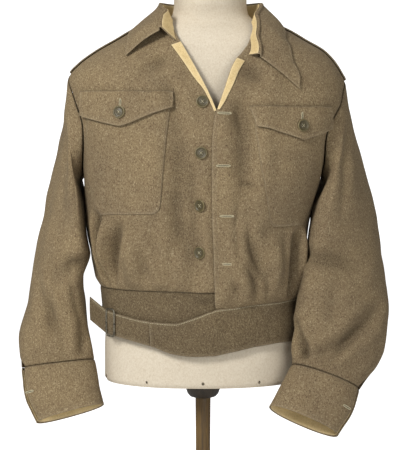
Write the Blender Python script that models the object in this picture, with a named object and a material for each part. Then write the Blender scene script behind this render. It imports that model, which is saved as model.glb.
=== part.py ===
"""Battledress jacket of wool serge, worn open at the neck by a limbless dress form on a turned stand.

Metres, +Z up, the front faces -Y and the wearer's right is -X. The origin is on the floor under the pole.
The jacket is one surface, body_point(angle, height), cut into panels. Sleeves start on its armholes.
"""

import math

import bmesh
import bpy
import numpy as np
from mathutils import Vector

# Driving sizes
MM = 0.001
CLOTH = 2.0 * MM
DOUBLE_CLOTH = 2.6 * MM
LINING = 1.0 * MM
SEAM_GAP = 0.35 * MM
LAY_GAP = 1.2 * MM
RIGHT, LEFT = -1, 1

PANEL_COLUMNS = 20
BACK_HALF_COLUMNS, BACK_ROWS = 11, (7, 6)
SIDE_SEAM_ROWS = 9
ARMHOLE_STEPS = 10
PANEL_ROWS = SIDE_SEAM_ROWS + ARMHOLE_STEPS
SLEEVE_ROWS = 15

ARMPIT_HEIGHT = 720 * MM
SHOULDER_HEIGHT = {RIGHT: 896 * MM, LEFT: 884 * MM}
NECK_POINT_HEIGHT = 994 * MM
BACK_NECK_HEIGHT = 984 * MM
ARMHOLE_FRONT_CUT, ARMHOLE_BACK_CUT = 27.0, 29.0

BUTTON_RADIUS = 10.5 * MM
BUTTON_HEIGHT = 3.0 * MM
BUTTON_SIDES = 10

FLOOR_BASE_RADIUS, FLOOR_BASE_HEIGHT = 165 * MM, 26 * MM
POLE_RADIUS = 13.5 * MM
FLANGE_RADIUS, FLANGE_HEIGHT = 32 * MM, 33 * MM
FORM_BOTTOM, FORM_TOP = 365 * MM, 1066 * MM
FORM_SIDES = 24
SHOULDER_EASE = 8.0 * MM


class Curve:
    """A smooth curve with no overshoot through the rows of a short table."""

    def __init__(self, at, values):
        self.at = np.array(at, float)
        self.values = np.array(values, float)
        steps = np.diff(self.at)
        slopes = np.diff(self.values) / steps
        self.pull = np.concatenate([slopes[:1], np.zeros(len(slopes) - 1), slopes[-1:]])
        for i in range(1, len(slopes)):
            if slopes[i - 1] * slopes[i] > 0:
                before = 2 * steps[i] + steps[i - 1]
                after = steps[i] + 2 * steps[i - 1]
                self.pull[i] = (before + after) / (before / slopes[i - 1] + after / slopes[i])

    def __call__(self, where):
        where = min(max(where, self.at[0]), self.at[-1])
        i = min(max(int(np.searchsorted(self.at, where)) - 1, 0), len(self.at) - 2)
        step = self.at[i + 1] - self.at[i]
        t = (where - self.at[i]) / step
        return (
            self.values[i] * (1 + 2 * t) * (1 - t) ** 2
            + self.pull[i] * step * t * (1 - t) ** 2
            + self.values[i + 1] * t * t * (3 - 2 * t)
            + self.pull[i + 1] * step * t * t * (t - 1)
        )


def curves(names, rows, scale=MM, plain=()):
    """One Curve for each named column, read against the first column. Columns in plain aren't scaled."""
    names = names.split()
    columns = {n: [r[i] * (1 if n in plain else scale) for r in rows] for i, n in enumerate(names)}
    return {n: Curve(columns[names[0]], columns[n]) for n in names[1:]}


# The jacket round the body, hem of the waistband to the neck, in millimetres from the floor and the centre
BODY = curves(
    "height left right front back square",
    (
        (440, 170, 177, 113, 104, 2.3),
        (528, 171, 180, 119, 108, 2.3),
        (548, 173, 187, 131, 119, 2.3),
        (600, 177, 198, 140, 126, 2.5),
        (660, 185, 204, 140, 126, 2.6),
        (725, 204, 206, 137, 126, 2.7),
        (800, 224, 214, 131, 125, 2.7),
        (850, 243, 225, 125, 122, 2.6),
        (884, 244, 231, 116, 118, 2.5),
        (896, 238, 228, 112, 116, 2.5),
        (913, 228, 212, 106, 112, 2.4),
        (934, 209, 184, 97, 107, 2.3),
        (953, 177, 151, 87, 100, 2.2),
        (972, 144, 118, 76, 92, 2.1),
        (985, 110, 85, 69, 86, 2.0),
        (997, 88, 63, 64, 81, 2.0),
    ),
    plain=("square",),
)

# How far the waist hangs below the level line, all round
WAIST_SAG = curves(
    "angle drop",
    ((-180, 4), (-120, 0), (-20, 0), (8, 26), (30, 22), (90, 18), (130, 12), (180, 4)),
    plain=("angle",),
)
WAIST_TOP, WAIST_BOTTOM = 531 * MM, 458 * MM
SAG_FADE_FROM, SAG_FADE_TO = 560 * MM, 760 * MM

# Creases of the body cloth: a line from one point to another, its half width, and how far it rises or sinks
FOLDS = (
    # face, x0, z0, x1, z1, half width, rise
    ("front", -178, 655, -163, 538, 9, -14),
    ("front", -163, 640, -158, 540, 8, 5),
    ("front", -141, 640, -152, 538, 8, -10),
    ("front", -116, 615, -122, 540, 10, 5),
    ("front", -40, 800, -34, 600, 15, -5),
    ("front", -28, 640, -8, 545, 11, -7),
    ("front", 66, 850, 70, 660, 13, -6),
    ("front", 74, 620, 100, 530, 12, -7),
    ("front", 120, 612, 128, 520, 13, 5),
    ("front", 157, 622, 150, 520, 9, -15),
    ("front", 168, 628, 162, 520, 9, 4),
    ("back", -165, 690, -140, 545, 13, -10),
    ("back", -110, 640, -104, 545, 12, -9),
    ("back", -66, 700, -60, 545, 14, -6),
    ("back", 60, 690, 52, 535, 14, -7),
    ("back", 104, 640, 100, 535, 12, -9),
    ("back", 160, 690, 140, 535, 13, -11),
    ("back", -203, 700, -193, 575, 22, 3),
    ("back", 186, 700, 172, 560, 22, 11),
    ("back", -120, 860, -40, 800, 16, -5),
    ("back", 130, 850, 50, 790, 16, -5),
)
FOLD_RADIUS = 165 * MM
GATHERS, GATHER_DEPTH, GATHER_REACH = 26, 2.2 * MM, 70 * MM
HELD_AT_WAIST = 16 * MM

# The pose of each sleeve, ring by ring under the armhole: x is measured outwards from the centre
SLEEVE_NAMES = "ring lateral_x lateral_z medial_x medial_z centre_y depth pitch twist sweep"
SLEEVES = {
    RIGHT: (
        (1, 238, 856, 214.4, 704, 8, 67, 0, 0, 10.4),
        (2, 247, 808, 205.1, 672, 8, 72, 0, 4, 38.4),
        (3, 262, 748, 200.9, 632, 6, 72, 0, 8, 45.8),
        (4, 279, 674, 195.9, 590, 2, 68, 2, 14, 44.5),
        (5, 294, 592, 208.2, 546, -3, 63, 4, 20, 28.6),
        (6, 307, 510, 204, 492, -10, 57, 7, 27, 15.1),
        (7, 321, 440, 197, 440, -18, 50, 10, 33, 6),
        (8, 317, 388, 189, 403, -27, 40, 13, 38, 0),
    ),
    LEFT: (
        (1, 254, 846, 208.4, 704, 8, 67, 0, 0, 11.3),
        (2, 268, 800, 191.2, 672, 8, 74, 0, 4, 35),
        (3, 287, 738, 181.9, 632, 5, 76, 0, 8, 49.4),
        (4, 305, 664, 176.4, 590, -2, 73, 4, 14, 50.1),
        (5, 318, 584, 166.9, 546, -15, 68, 8, 20, 48.2),
        (6, 324, 502, 156.8, 494, -38, 59, 13, 27, 37.3),
        (7, 312, 424, 153.9, 446, -65, 50, 18, 33, 16),
        (8, 266, 361, 150, 404, -88, 41, 22, 38, 0),
    ),
}
SLEEVE_SQUARE = 2.25
FOREARM_SEAM, HINDARM_SEAM = 160.0, 322.0
VENT_REACH = {RIGHT: (7.5, 8.0), LEFT: (7.5, 8.0)}
VENT_FRONT = {RIGHT: 33.0, LEFT: 24.0}

SLEEVE_FOLDS = {
    # ring position and angle of both ends, half width in mm, rise in mm
    RIGHT: (
        (4.2, 150, 5.4, 60, 13, -7),
        (5.6, 30, 7.2, 80, 13, -6),
        (5.0, 250, 6.2, 200, 14, -8),
        (6.6, 120, 7.8, 100, 11, -6),
        (2.2, 250, 4.0, 300, 15, -6),
    ),
    LEFT: (
        (4.0, 150, 5.2, 55, 14, -8),
        (6.5, 140, 7.9, 95, 11, -11),
        (6.2, 20, 7.6, 75, 11, -8),
        (5.0, 250, 6.2, 200, 14, -8),
        (2.2, 250, 4.0, 300, 15, -6),
    ),
}

CUFFS = {
    RIGHT: (
        (0, 317, 388, 189, 403, -27, 40, 13, 0, 0),
        (1, 311, 343, 181, 364, -35, 39, 16, 0, 0),
        (2, 290, 294, 172, 327, -43, 37, 20, 0, 0),
    ),
    LEFT: (
        (0, 266, 361, 150, 404, -88, 41, 22, 0, 0),
        (1, 253, 324, 131, 371, -100, 39, 24, 0, 0),
        (2, 227, 288, 111, 338, -110, 37, 27, 0, 0),
    ),
}
CUFF_SQUARE = SLEEVE_SQUARE
CUFF_FROM, CUFF_TO = {RIGHT: 32.0, LEFT: 24.0}, 358.0
CUFF_STEPS = 22

# Front edges: share of the way up, x and height. The wearer's right front is underneath and carries the buttons.
FRONT_EDGE = {
    RIGHT: (
        (0.00, 50, 533),
        (0.20, 50, 610),
        (0.47, 48, 740),
        (0.56, 42, 790),
        (0.63, 25, 825),
        (0.70, 11, 858),
        (0.77, -6, 891),
        (0.84, -25, 925),
        (0.90, -38, 948),
    ),
    LEFT: (
        (0.00, 22, 504),
        (0.20, 17, 600),
        (0.45, 15, 710),
        (0.56, 16, 784),
        (0.64, 21, 822),
        (0.70, 28, 845),
        (0.77, 36, 869),
        (0.85, 46, 900),
        (0.90, 57, 921),
    ),
}
# Where the collar is sewn on, front end to centre back: angle and height
NECKLINE = {
    RIGHT: ((16, 948), (25, 972), (42, 986), (90, 994), (135, 989), (180, 984)),
    LEFT: ((20, 924), (27, 955), (44, 981), (90, 994), (135, 989), (180, 984)),
}
FACING_SPAN = {RIGHT: (0.645, 0.895), LEFT: (0.67, 0.895)}
# Width of the lining turned out along the neck edge, from the top button up
FACING_WIDTHS = {
    RIGHT: ((0, 3), (0.3, 4.5), (0.5, 9), (0.75, 12), (1, 15)),
    LEFT: ((0, 3), (0.3, 7), (0.6, 10), (1, 13)),
}
OVERLAP_LIFT = 4.4 * MM

# The collar from its front end to the centre back: angle round the neck, roll line beyond the seam
# (outwards, sideways, up), and the leaf's outer edge on the body surface (x, height), front or back
COLLAR_NAMES = "share angle roll_out roll_side roll_up leaf_angle leaf_height leaf_lift"
COLLAR = {
    LEFT: (
        (0.00, 20, 18, 15, 2, 37.5, 868, 5),
        (0.18, 27, 15, 7, 6, 37.5, 905, 6),
        (0.40, 44, 8, 2, 17, 46, 948, 5),
        (0.62, 90, 6, 0, 25, 90, 980, 5),
        (0.82, 135, 3, 0, 34, 143, 962, 5),
        (1.00, 180, 3, 0, 38, 180, 955, 5),
    ),
    RIGHT: (
        (0.00, 16, 10, 25, 24, 37, 922, 6),
        (0.18, 25, 10, 17, 19, 44, 940, 6),
        (0.40, 42, 7, 3, 19, 62, 962, 6),
        (0.62, 90, 3, 0, 25, 90, 985, 5),
        (0.82, 135, 3, 0, 34, 143, 964, 5),
        (1.00, 180, 3, 0, 38, 180, 955, 5),
    ),
}
COLLAR_STEPS = 12
ROLL_RADIUS = 3.4 * MM

# Patch pockets, flaps and their buttons, as x and height on the front
POCKETS = {
    RIGHT: {
        "inner": ((-52, 864), (-64, 756), (-70, 664)),
        "outer": ((-192, 864), (-196, 756), (-176, 660)),
        "flap_inner": ((-49, 864), (-54, 837)),
        "flap_point": (-134, 807),
        "flap_outer": ((-203, 866), (-201, 826)),
        "button": (-134, 829),
    },
    LEFT: {
        "inner": ((84, 838), (97, 730), (110, 642)),
        "outer": ((204, 838), (200, 730), (170, 642)),
        "flap_inner": ((79, 840), (91, 807)),
        "flap_point": (163, 785),
        "flap_outer": ((211, 840), (213, 806)),
        "button": (161, 808),
    },
}
POCKET_STEPS = (7, 8)
POCKET_CORNER = 16 * MM
FLAP_STEPS = (8, 3)

FRONT_BUTTONS = ((-1, 847), (-3, 763), (-4, 677), (-5, 599))

# The waistband's left end, which runs across the front as a belt: x, top, bottom, distance off the body
BELT_NAMES = "x top bottom lift"
BELT = (
    (-159, 494, 456, 9.5),
    (-130, 487, 450, 7.0),
    (-87, 480, 440, 6.5),
    (-48, 478, 427, 6.5),
    (-17, 487, 424, 6.5),
    (17, 500, 425, 6.2),
    (44, 506, 430, 4.4),
    (99, 511, 439, 0.0),
    (167, 512, 444, 0.0),
)
TONGUE_FROM, TONGUE_TO, TONGUE_FREE = -87.4, -159, 44 * MM
TONGUE_FREE_RISE = 12 * MM
BUCKLE_X, BUCKLE_WIDTH, BUCKLE_HEIGHT, BUCKLE_WIRE = -150, 20 * MM, 46 * MM, 1.4 * MM

STRAP_FRONT, STRAP_BACK = -16 * MM, 30 * MM
STRAP_INNER_X = {RIGHT: 100 * MM, LEFT: 133 * MM}
STRAP_LIFT = 3.9 * MM

# The dress form under the jacket, hem to the top of the neck
FORM = curves(
    "height left right front back square",
    (
        (365, 168, 173, 102, 95, 2.2),
        (430, 167, 172, 103, 95, 2.2),
        (520, 160, 165, 102, 94, 2.2),
        (600, 162, 168, 105, 98, 2.2),
        (700, 176, 178, 108, 104, 2.3),
        (800, 192, 190, 104, 106, 2.4),
        (860, 203, 196, 97, 105, 2.4),
        (895, 210, 200, 91, 102, 2.3),
        (930, 212, 196, 83, 96, 2.2),
        (955, 178, 152, 74, 88, 2.1),
        (972, 126, 100, 64, 79, 2.0),
        (985, 94, 68, 56, 68, 2.0),
        (1000, 78, 53, 60, 59, 2.0),
        (1015, 75, 51, 68, 56, 2.0),
        (1056, 75, 51, 70, 52, 2.0),
        (1064, 69, 45, 64, 46, 2.0),
        (1066, 50, 26, 45, 27, 2.0),
    ),
    plain=("square",),
)


def clear_scene():
    for obj in list(bpy.data.objects):
        bpy.data.objects.remove(obj)


def material(name, colour, roughness, metallic=0.0):
    made = bpy.data.materials.new(name)
    made.use_nodes = True
    shader = made.node_tree.nodes["Principled BSDF"]
    shader.inputs["Base Color"].default_value = (*colour, 1)
    shader.inputs["Roughness"].default_value = roughness
    shader.inputs["Metallic"].default_value = metallic
    return made


def blend_in(value, start, end):
    """0 before start, 1 after end, and smooth between."""
    t = min(max((value - start) / (end - start), 0.0), 1.0)
    return t * t * (3 - 2 * t)


# The body surface


def ring_reach(angle, square):
    """How far a rounded square reaches at an angle, where a circle reaches 1."""
    c, s = abs(math.cos(angle)), abs(math.sin(angle))
    return (c**square + s**square) ** (-1 / square)


def level(angle, height):
    """The height at which the ring table is read: the waist hangs lower on the wearer's left."""
    fade = 1 - blend_in(height, SAG_FADE_FROM, SAG_FADE_TO)
    turn = (angle + 180) % 360 - 180
    return height + WAIST_SAG["drop"](turn) * fade


def ring_sizes(shape, angle, height):
    side = shape["left"] if math.sin(math.radians(angle)) > 0 else shape["right"]
    face = shape["front"] if math.cos(math.radians(angle)) > 0 else shape["back"]
    return side(height), face(height), shape["square"](height)


def angle_at(x, height, back=False):
    """The angle on the body ring whose point has this x."""
    across = 90 if x >= 0 else -90
    look = level(across / 2, height)
    half, _, square = ring_sizes(BODY, across, look)
    share = min(max(abs(x) / half, 1e-4), 0.9995)
    angle = math.degrees(math.atan2(1.0, ((1 / share) ** square - 1) ** (1 / square)))
    angle = 180 - angle if back else angle
    return math.copysign(angle, x)


def angle_at_depth(y, height, side):
    """The angle near the shoulder line whose point lies this far behind it."""
    _, face, square = ring_sizes(BODY, 180 if y > 0 else 0, height)
    share = min(max(abs(y) / face, 1e-4), 0.9995)
    off = math.degrees(math.atan2(1.0, ((1 / share) ** square - 1) ** (1 / square)))
    return side * (90 + math.copysign(off, y))


def fold_rise(angle, height):
    """How far the creases and the gathers at the waist lift or sink the cloth."""
    turn = math.radians((angle + 180) % 360 - 180)
    rise = 0.0
    for ends, width, depth in FOLD_LINES:
        (turn0, height0), (turn1, height1) = ends
        line = np.array([(turn1 - turn0) * FOLD_RADIUS, height1 - height0])
        here = np.array([(turn - turn0) * FOLD_RADIUS, height - height0])
        along = float(here @ line / (line @ line))
        held = min(max(along, 0.0), 1.0)
        off = float(np.linalg.norm(here - held * line))
        taper = math.sin(math.pi * (0.06 + 0.94 * held) ** 0.8) ** 0.7 if 0 <= held < 1 else 0.0
        start = 1 - blend_in(height, height0 - 30 * MM, height0)
        fade = start if height > height1 else 1.0
        rise += depth * math.exp(-((off / width) ** 2)) * max(taper, 0.35 * fade)
    seam = WAIST_TOP - WAIST_SAG["drop"](math.degrees(turn))
    above = height - seam
    reach = max(0.0, 1 - above / GATHER_REACH)
    rise += GATHER_DEPTH * math.cos(GATHERS * turn + 3 * math.sin(2 * turn)) * reach
    return rise * blend_in(above, 1 * MM, HELD_AT_WAIST)


def smooth_point(angle, height):
    """A point of the body surface before any fold."""
    half, face, square = ring_sizes(BODY, angle, level(angle, height))
    turn = math.radians(angle)
    reach = ring_reach(turn, square)
    return np.array([half * reach * math.sin(turn), -face * reach * math.cos(turn), height])


def spot_of(point):
    """The angle and height at which the body surface passes nearest to a point, seen from the axis."""
    x, y, height = point
    angle = math.degrees(math.atan2(x, -y))
    for _ in range(3):
        half, face, _ = ring_sizes(BODY, angle, level(angle, height))
        angle = math.degrees(math.atan2(x / half, -y / face))
    return angle, height


def body_point(angle, height, lift=0.0):
    half, face, _ = ring_sizes(BODY, angle, level(angle, height))
    x, y, height = smooth_point(angle, height)
    out = np.array([x / half**2, y / face**2])
    out /= np.linalg.norm(out)
    rise = fold_rise(angle, height) if height < 0.93 else 0.0
    point = np.array([x + out[0] * rise, y + out[1] * rise, height])
    return point + body_normal(angle, height) * lift if lift else point


def body_normal(angle, height):
    """Outward normal of the body surface, from points a little to each side."""
    high = min(height + 2 * MM, 996.9 * MM)
    round_body = body_point(angle + 0.8, height) - body_point(angle - 0.8, height)
    up = body_point(angle, high) - body_point(angle, high - 4 * MM)
    normal = np.cross(round_body, up)
    return normal / np.linalg.norm(normal)


def find_fold_lines():
    lines = []
    for face, x0, z0, x1, z1, width, depth in FOLDS:
        ends = []
        for x, z in ((x0, z0), (x1, z1)):
            ends.append((math.radians(angle_at(x * MM, z * MM, face == "back")), z * MM))
        lines.append((ends, width * MM, depth * MM))
    return lines


def armhole(side, turn):
    """Angle and height on the armhole. turn is 0 at the shoulder, 90 at the front, 180 at the armpit."""
    up = (1 + math.cos(math.radians(turn))) / 2
    cut = ARMHOLE_FRONT_CUT if math.sin(math.radians(turn)) >= 0 else -ARMHOLE_BACK_CUT
    angle = 90 - cut * max(math.sin(math.pi * up), 0.0) ** 0.62
    return side * angle, ARMPIT_HEIGHT + up * (SHOULDER_HEIGHT[side] - ARMPIT_HEIGHT)


# Cloth solids


def cloth_solid(name, outer, wall, finish, inner=None):
    """A closed wall from a grid of outer points and a second grid, by default the same points moved in."""
    outer = np.array(outer, float)
    if inner is None:
        inner = outer - grid_normals(outer) * wall
    rows, columns = outer.shape[:2]
    shell = bmesh.new()
    layers = [[[shell.verts.new(p) for p in row] for row in grid] for grid in (outer, inner)]
    top, under = layers
    for r in range(rows - 1):
        for c in range(columns - 1):
            shell.faces.new((top[r][c], top[r][c + 1], top[r + 1][c + 1], top[r + 1][c]))
            shell.faces.new((under[r][c], under[r + 1][c], under[r + 1][c + 1], under[r][c + 1]))
    edge = [(0, c) for c in range(columns)] + [(r, columns - 1) for r in range(1, rows)]
    edge += [(rows - 1, c) for c in range(columns - 2, -1, -1)] + [(r, 0) for r in range(rows - 2, 0, -1)]
    for (r0, c0), (r1, c1) in zip(edge, edge[1:] + edge[:1]):
        shell.faces.new((top[r1][c1], top[r0][c0], under[r0][c0], under[r1][c1]))
    return finish_mesh(name, shell, finish)


def grid_normals(grid):
    """Normals of a grid of points, pointing to the side from which its columns run left to right, rows up."""
    across = np.gradient(grid, axis=1)
    up = np.gradient(grid, axis=0)
    normals = np.cross(across, up)
    return normals / np.maximum(np.linalg.norm(normals, axis=2, keepdims=True), 1e-12)


def finish_mesh(name, shell, finish):
    if shell.calc_volume(signed=True) < 0:
        bmesh.ops.reverse_faces(shell, faces=shell.faces)
    mesh = bpy.data.meshes.new(name)
    shell.to_mesh(mesh)
    shell.free()
    mesh.shade_smooth()
    mesh.set_sharp_from_angle(angle=math.radians(50))
    mesh.materials.append(finish)
    obj = bpy.data.objects.new(name, mesh)
    bpy.context.scene.collection.objects.link(obj)
    return obj


def patch(name, spots, wall, finish, lift):
    """A piece on the body: spots is a grid of (angle, height), lift a number or a function of both."""
    outer, inner = [], []
    for row in spots:
        points = []
        depths = []
        for angle, height in row:
            off = lift(angle, height) if callable(lift) else lift
            point, normal = body_point(angle, height), body_normal(angle, height)
            points.append(point + normal * off)
            depths.append(point + normal * (off - wall))
        outer.append(points)
        inner.append(depths)
    return cloth_solid(name, outer, wall, finish, inner=np.array(inner))


def between(a, b, share):
    return tuple(p + (q - p) * share for p, q in zip(a, b))


def turned(name, profile, sides, finish, centre=(0, 0, 0), tilt=None):
    """A turned solid from (radius, height) points, from the axis round to the axis."""
    shell = bmesh.new()
    rings = []
    for radius, height in profile:
        if radius < 1e-6:
            rings.append([shell.verts.new((0, 0, height))])
            continue
        around = [2 * math.pi * i / sides for i in range(sides)]
        rings.append([shell.verts.new((radius * math.cos(a), radius * math.sin(a), height)) for a in around])
    for low, high in zip(rings, rings[1:]):
        for i in range(sides):
            j = (i + 1) % sides
            corners = [low[i % len(low)], low[j % len(low)], high[j % len(high)], high[i % len(high)]]
            unique = list(dict.fromkeys(corners))
            if len(unique) > 2:
                shell.faces.new(unique)
    if tilt is not None:
        turn = tilt.to_track_quat("Z", "Y").to_matrix().to_4x4()
        bmesh.ops.transform(shell, matrix=turn, verts=shell.verts)
    bmesh.ops.translate(shell, vec=centre, verts=shell.verts)
    return finish_mesh(name, shell, finish)


# Panels of the body


def front_edge(side, share):
    edge = FRONT_EDGE[side]
    x = Curve([r[0] for r in edge], [r[1] * MM for r in edge])
    z = Curve([r[0] for r in edge], [r[2] * MM for r in edge])
    last = edge[-1][0]
    if share <= last:
        return angle_at(x(share), z(share)), z(share)
    neck = [r for r in NECKLINE[side] if r[0] <= 90]
    start = abs(angle_at(x(last), z(last)))
    rounds = [start] + [r[0] for r in neck[1:]]
    heights = [z(last)] + [r[1] * MM for r in neck[1:]]
    angle = start + (90 - start) * ((share - last) / (1 - last)) ** 1.15
    return side * angle, Curve(rounds, heights)(angle)


def waist_seam(angle):
    turn = (angle + 180) % 360 - 180
    return WAIST_TOP - WAIST_SAG["drop"](turn)


def outer_rail(side, share, seam):
    """Side seam, then the armhole up to the shoulder. seam is +1 on the front and -1 on the back."""
    row = share * PANEL_ROWS
    trim = math.degrees(SEAM_GAP / (2 * 130 * MM)) * seam
    if row <= SIDE_SEAM_ROWS:
        low = waist_seam(side * 90) + SEAM_GAP
        height = low + (ARMPIT_HEIGHT - low) * (row / SIDE_SEAM_ROWS)
        return side * (90 - trim), height
    turn = 180 * (1 - (row - SIDE_SEAM_ROWS) / ARMHOLE_STEPS)
    angle, height = armhole(side, seam * turn)
    return angle - side * trim * (abs(turn - 90) > 89), height


def coons(bottom, top, inner, outer, s, v):
    """The spot of a four-sided panel between its four edges, blended in space and put back on the body."""
    for at_edge, edge, share in ((v == 0, bottom, s), (v == 1, top, s), (s == 0, inner, v), (s == 1, outer, v)):
        if at_edge:
            return edge(share)
    b, t, i, o = (smooth_point(*spot) for spot in (bottom(s), top(s), inner(v), outer(v)))
    low, high = (smooth_point(*bottom(0)), smooth_point(*bottom(1))), (smooth_point(*top(0)), smooth_point(*top(1)))
    flat = (1 - v) * ((1 - s) * low[0] + s * low[1]) + v * ((1 - s) * high[0] + s * high[1])
    return spot_of((1 - v) * b + v * t + (1 - s) * i + s * o - flat)


def front_spots(side):
    seam_trim = math.degrees(SEAM_GAP / (2 * 100 * MM))
    waist_at = front_edge(side, 0)[0]

    def bottom(s):
        angle = waist_at + (side * 90 - waist_at) * s
        height = waist_seam(angle) if side == LEFT or angle < -20 else WAIST_TOP
        return angle, height + SEAM_GAP

    def top(s):
        height = NECK_POINT_HEIGHT + (SHOULDER_HEIGHT[side] - NECK_POINT_HEIGHT) * s
        return side * (90 - seam_trim), height

    def inner(v):
        angle, height = front_edge(side, v)
        return (angle, max(height, bottom(0)[1])) if v < 1 else top(0)

    def outer(v):
        return outer_rail(side, v, 1) if v < 1 else top(1)

    grid = []
    for r in range(PANEL_ROWS + 1):
        v = r / PANEL_ROWS
        grid.append([coons(bottom, top, inner, outer, c / PANEL_COLUMNS, v) for c in range(PANEL_COLUMNS + 1)])
    return grid if side == LEFT else [row[::-1] for row in grid]


def front_lift(side):
    """The wearer's left front lies over the right one near the centre."""
    if side == RIGHT:
        return 0.0
    return lambda angle, height: OVERLAP_LIFT * (1 - blend_in(angle, 20, 44)) * (1 - blend_in(height, 0.84, 0.90))


def back_rail(side):
    """Side seam, armhole and shoulder seam of the back, bottom to top."""
    trim = math.degrees(SEAM_GAP / (2 * 100 * MM))
    seam_rows, shoulder_rows = BACK_ROWS
    low = waist_seam(side * 90) + SEAM_GAP
    rail = [(side * (90 + trim), low + (ARMPIT_HEIGHT - low) * k / seam_rows) for k in range(seam_rows + 1)]
    rail += [armhole(side, -180 * (1 - k / ARMHOLE_STEPS)) for k in range(1, ARMHOLE_STEPS)]
    rise = NECK_POINT_HEIGHT - SHOULDER_HEIGHT[side]
    rail += [(side * (90 + trim), SHOULDER_HEIGHT[side] + rise * k / shoulder_rows) for k in range(shoulder_rows + 1)]
    return rail


def back_spots():
    """The back in rows that run level from one rail to the other, waist to neckline."""
    necks = {side: Curve(*zip(*[(r[0], r[1] * MM) for r in NECKLINE[side][3:]])) for side in (RIGHT, LEFT)}

    def ends(side, turn):
        return waist_seam(side * turn) + SEAM_GAP, necks[side](turn)

    def share_up(side, spot):
        low, high = ends(side, abs(spot[0]))
        return (spot[1] - low) / (high - low)

    grid = []
    for left, right in zip(back_rail(LEFT), back_rail(RIGHT)):
        centre = (share_up(LEFT, left) + share_up(RIGHT, right)) / 2
        row = []
        for side, spot in ((LEFT, left), (RIGHT, right)):
            half = []
            for s in np.linspace(1, 0, BACK_HALF_COLUMNS + 1):
                turn = 180 - (180 - abs(spot[0])) * s
                low, high = ends(side, turn)
                up = share_up(side, spot) * s + centre * (1 - s)
                half.append((side * turn, low + (high - low) * up))
            row += half if side == LEFT else half[-2::-1]
        grid.append(row)
    return grid


def facing_spots(side):
    """The strip of lining turned out along the open neck edge."""
    shares = np.linspace(*FACING_SPAN[side], 11)
    widths = Curve(*zip(*((share, width * MM) for share, width in FACING_WIDTHS[side])))
    grid = []
    for i, share in enumerate(shares):
        angle, height = front_edge(side, share)
        start = body_point(angle, height)
        wide = widths(i / (len(shares) - 1))
        across = []
        for k in range(3):
            x = start[0] + side * wide * k / 2
            down = height - 0.35 * wide * k / 2
            across.append((angle_at(x, down), down))
        grid.append(across)
    return grid if side == LEFT else [row[::-1] for row in grid]


def build_body(serge, drill):
    for side, word in ((RIGHT, "right"), (LEFT, "left")):
        patch("front_" + word, front_spots(side), CLOTH, serge, front_lift(side))
        over = front_lift(side)
        base = 0.65 * LAY_GAP + LINING

        def lift(angle, height, over=over, base=base):
            return base + (over(angle, height) if callable(over) else over)

        patch("facing_" + word, facing_spots(side), LINING, drill, lift)
    patch("back", back_spots(), CLOTH, serge, 0.0)


# Sleeves and cuffs


def scaled_row(row):
    """A row of the sleeve or cuff table in metres. Pitch and twist are angles."""
    return [value * MM for value in row[1:7]] + list(row[7:9]) + [row[9] * MM]


def ring_point(row, side, angle, square):
    """A point of a sleeve or cuff ring. sweep brings its medial side forward and takes its lateral side back."""
    lateral = np.array([row[0] * side, row[8], row[1]])
    medial = np.array([row[2] * side, -row[8], row[3]])
    centre = (lateral + medial) / 2 + np.array([0, row[4], 0])
    turn = math.radians(angle + row[7])
    reach = ring_reach(turn, square)
    pitch = math.radians(row[6])
    front = np.array([0, -math.cos(pitch), math.sin(pitch)]) * row[5]
    return centre + (lateral - medial) / 2 * math.cos(turn) * reach + front * math.sin(turn) * reach


def sleeve_point(side, ring, angle):
    """A point of the sleeve before any fold, from the armhole at ring 0 to the cuff seam."""
    spot = armhole(side, angle)
    near_top = ((spot[1] - ARMPIT_HEIGHT) / (SHOULDER_HEIGHT[side] - ARMPIT_HEIGHT)) ** 4
    start = body_point(*spot) + np.array([side, 0, 0]) * (1.1 + 1.1 * near_top) * MM
    points = [start] + [ring_point(row, side, angle, SLEEVE_SQUARE) for row in SLEEVE_TABLES[side]]
    return np.array([Curve(range(len(points)), [p[k] for p in points])(ring) for k in range(3)])


def sleeve_fold_rise(side, ring, angle):
    rise = 0.0
    for ring0, angle0, ring1, angle1, width, depth in SLEEVE_FOLDS[side]:
        line = np.array([(ring1 - ring0) * 62, (angle1 - angle0) * 0.95])
        here = np.array([(ring - ring0) * 62, (angle - angle0) * 0.95])
        along = float(here @ line / (line @ line))
        held = min(max(along, 0.0), 1.0)
        off = float(np.linalg.norm(here - held * line))
        rise += depth * MM * math.exp(-((off / width) ** 2)) * (0.4 + 0.6 * math.sin(math.pi * held))
    return rise * blend_in(ring, 0.6, 1.6) * (1 - blend_in(ring, 7.6, 8.0))


def sleeve_grid(side, start, end, columns):
    """Points down the sleeve between two angles, and their normals. The vent opens the front side of the seam."""
    rings = len(SLEEVES[side]) * np.linspace(0, 1, SLEEVE_ROWS + 1) ** 0.92
    grid = np.zeros((len(rings), columns + 3, 3))
    rise = np.zeros((len(rings), columns + 3, 1))
    for r, ring in enumerate(rings):
        vent = VENT_FRONT[side] * blend_in(ring, *VENT_REACH[side]) if start < 0 else 0.0
        trim = 0.3 + 0.7 * (1 - blend_in(ring, 0.3, 1.2))
        first, last = start + vent + trim, end - trim
        for c in range(columns + 3):
            angle = first + (last - first) * (c - 1) / columns
            grid[r, c] = sleeve_point(side, ring, angle)
            rise[r, c] = sleeve_fold_rise(side, ring, angle % 360)
    grid += grid_normals(grid) * side * rise
    normals = grid_normals(grid) * side
    return grid[:, 1:-1], normals[:, 1:-1]


def build_sleeve(side, word, serge):
    pieces = {"top": (HINDARM_SEAM - 360, FOREARM_SEAM, 11), "under": (FOREARM_SEAM, HINDARM_SEAM, 9)}
    for piece, (start, end, columns) in pieces.items():
        grid, normals = sleeve_grid(side, start, end, columns)
        cloth_solid(f"sleeve_{word}_{piece}", grid, CLOTH, serge, inner=grid - normals * CLOTH)


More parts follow.
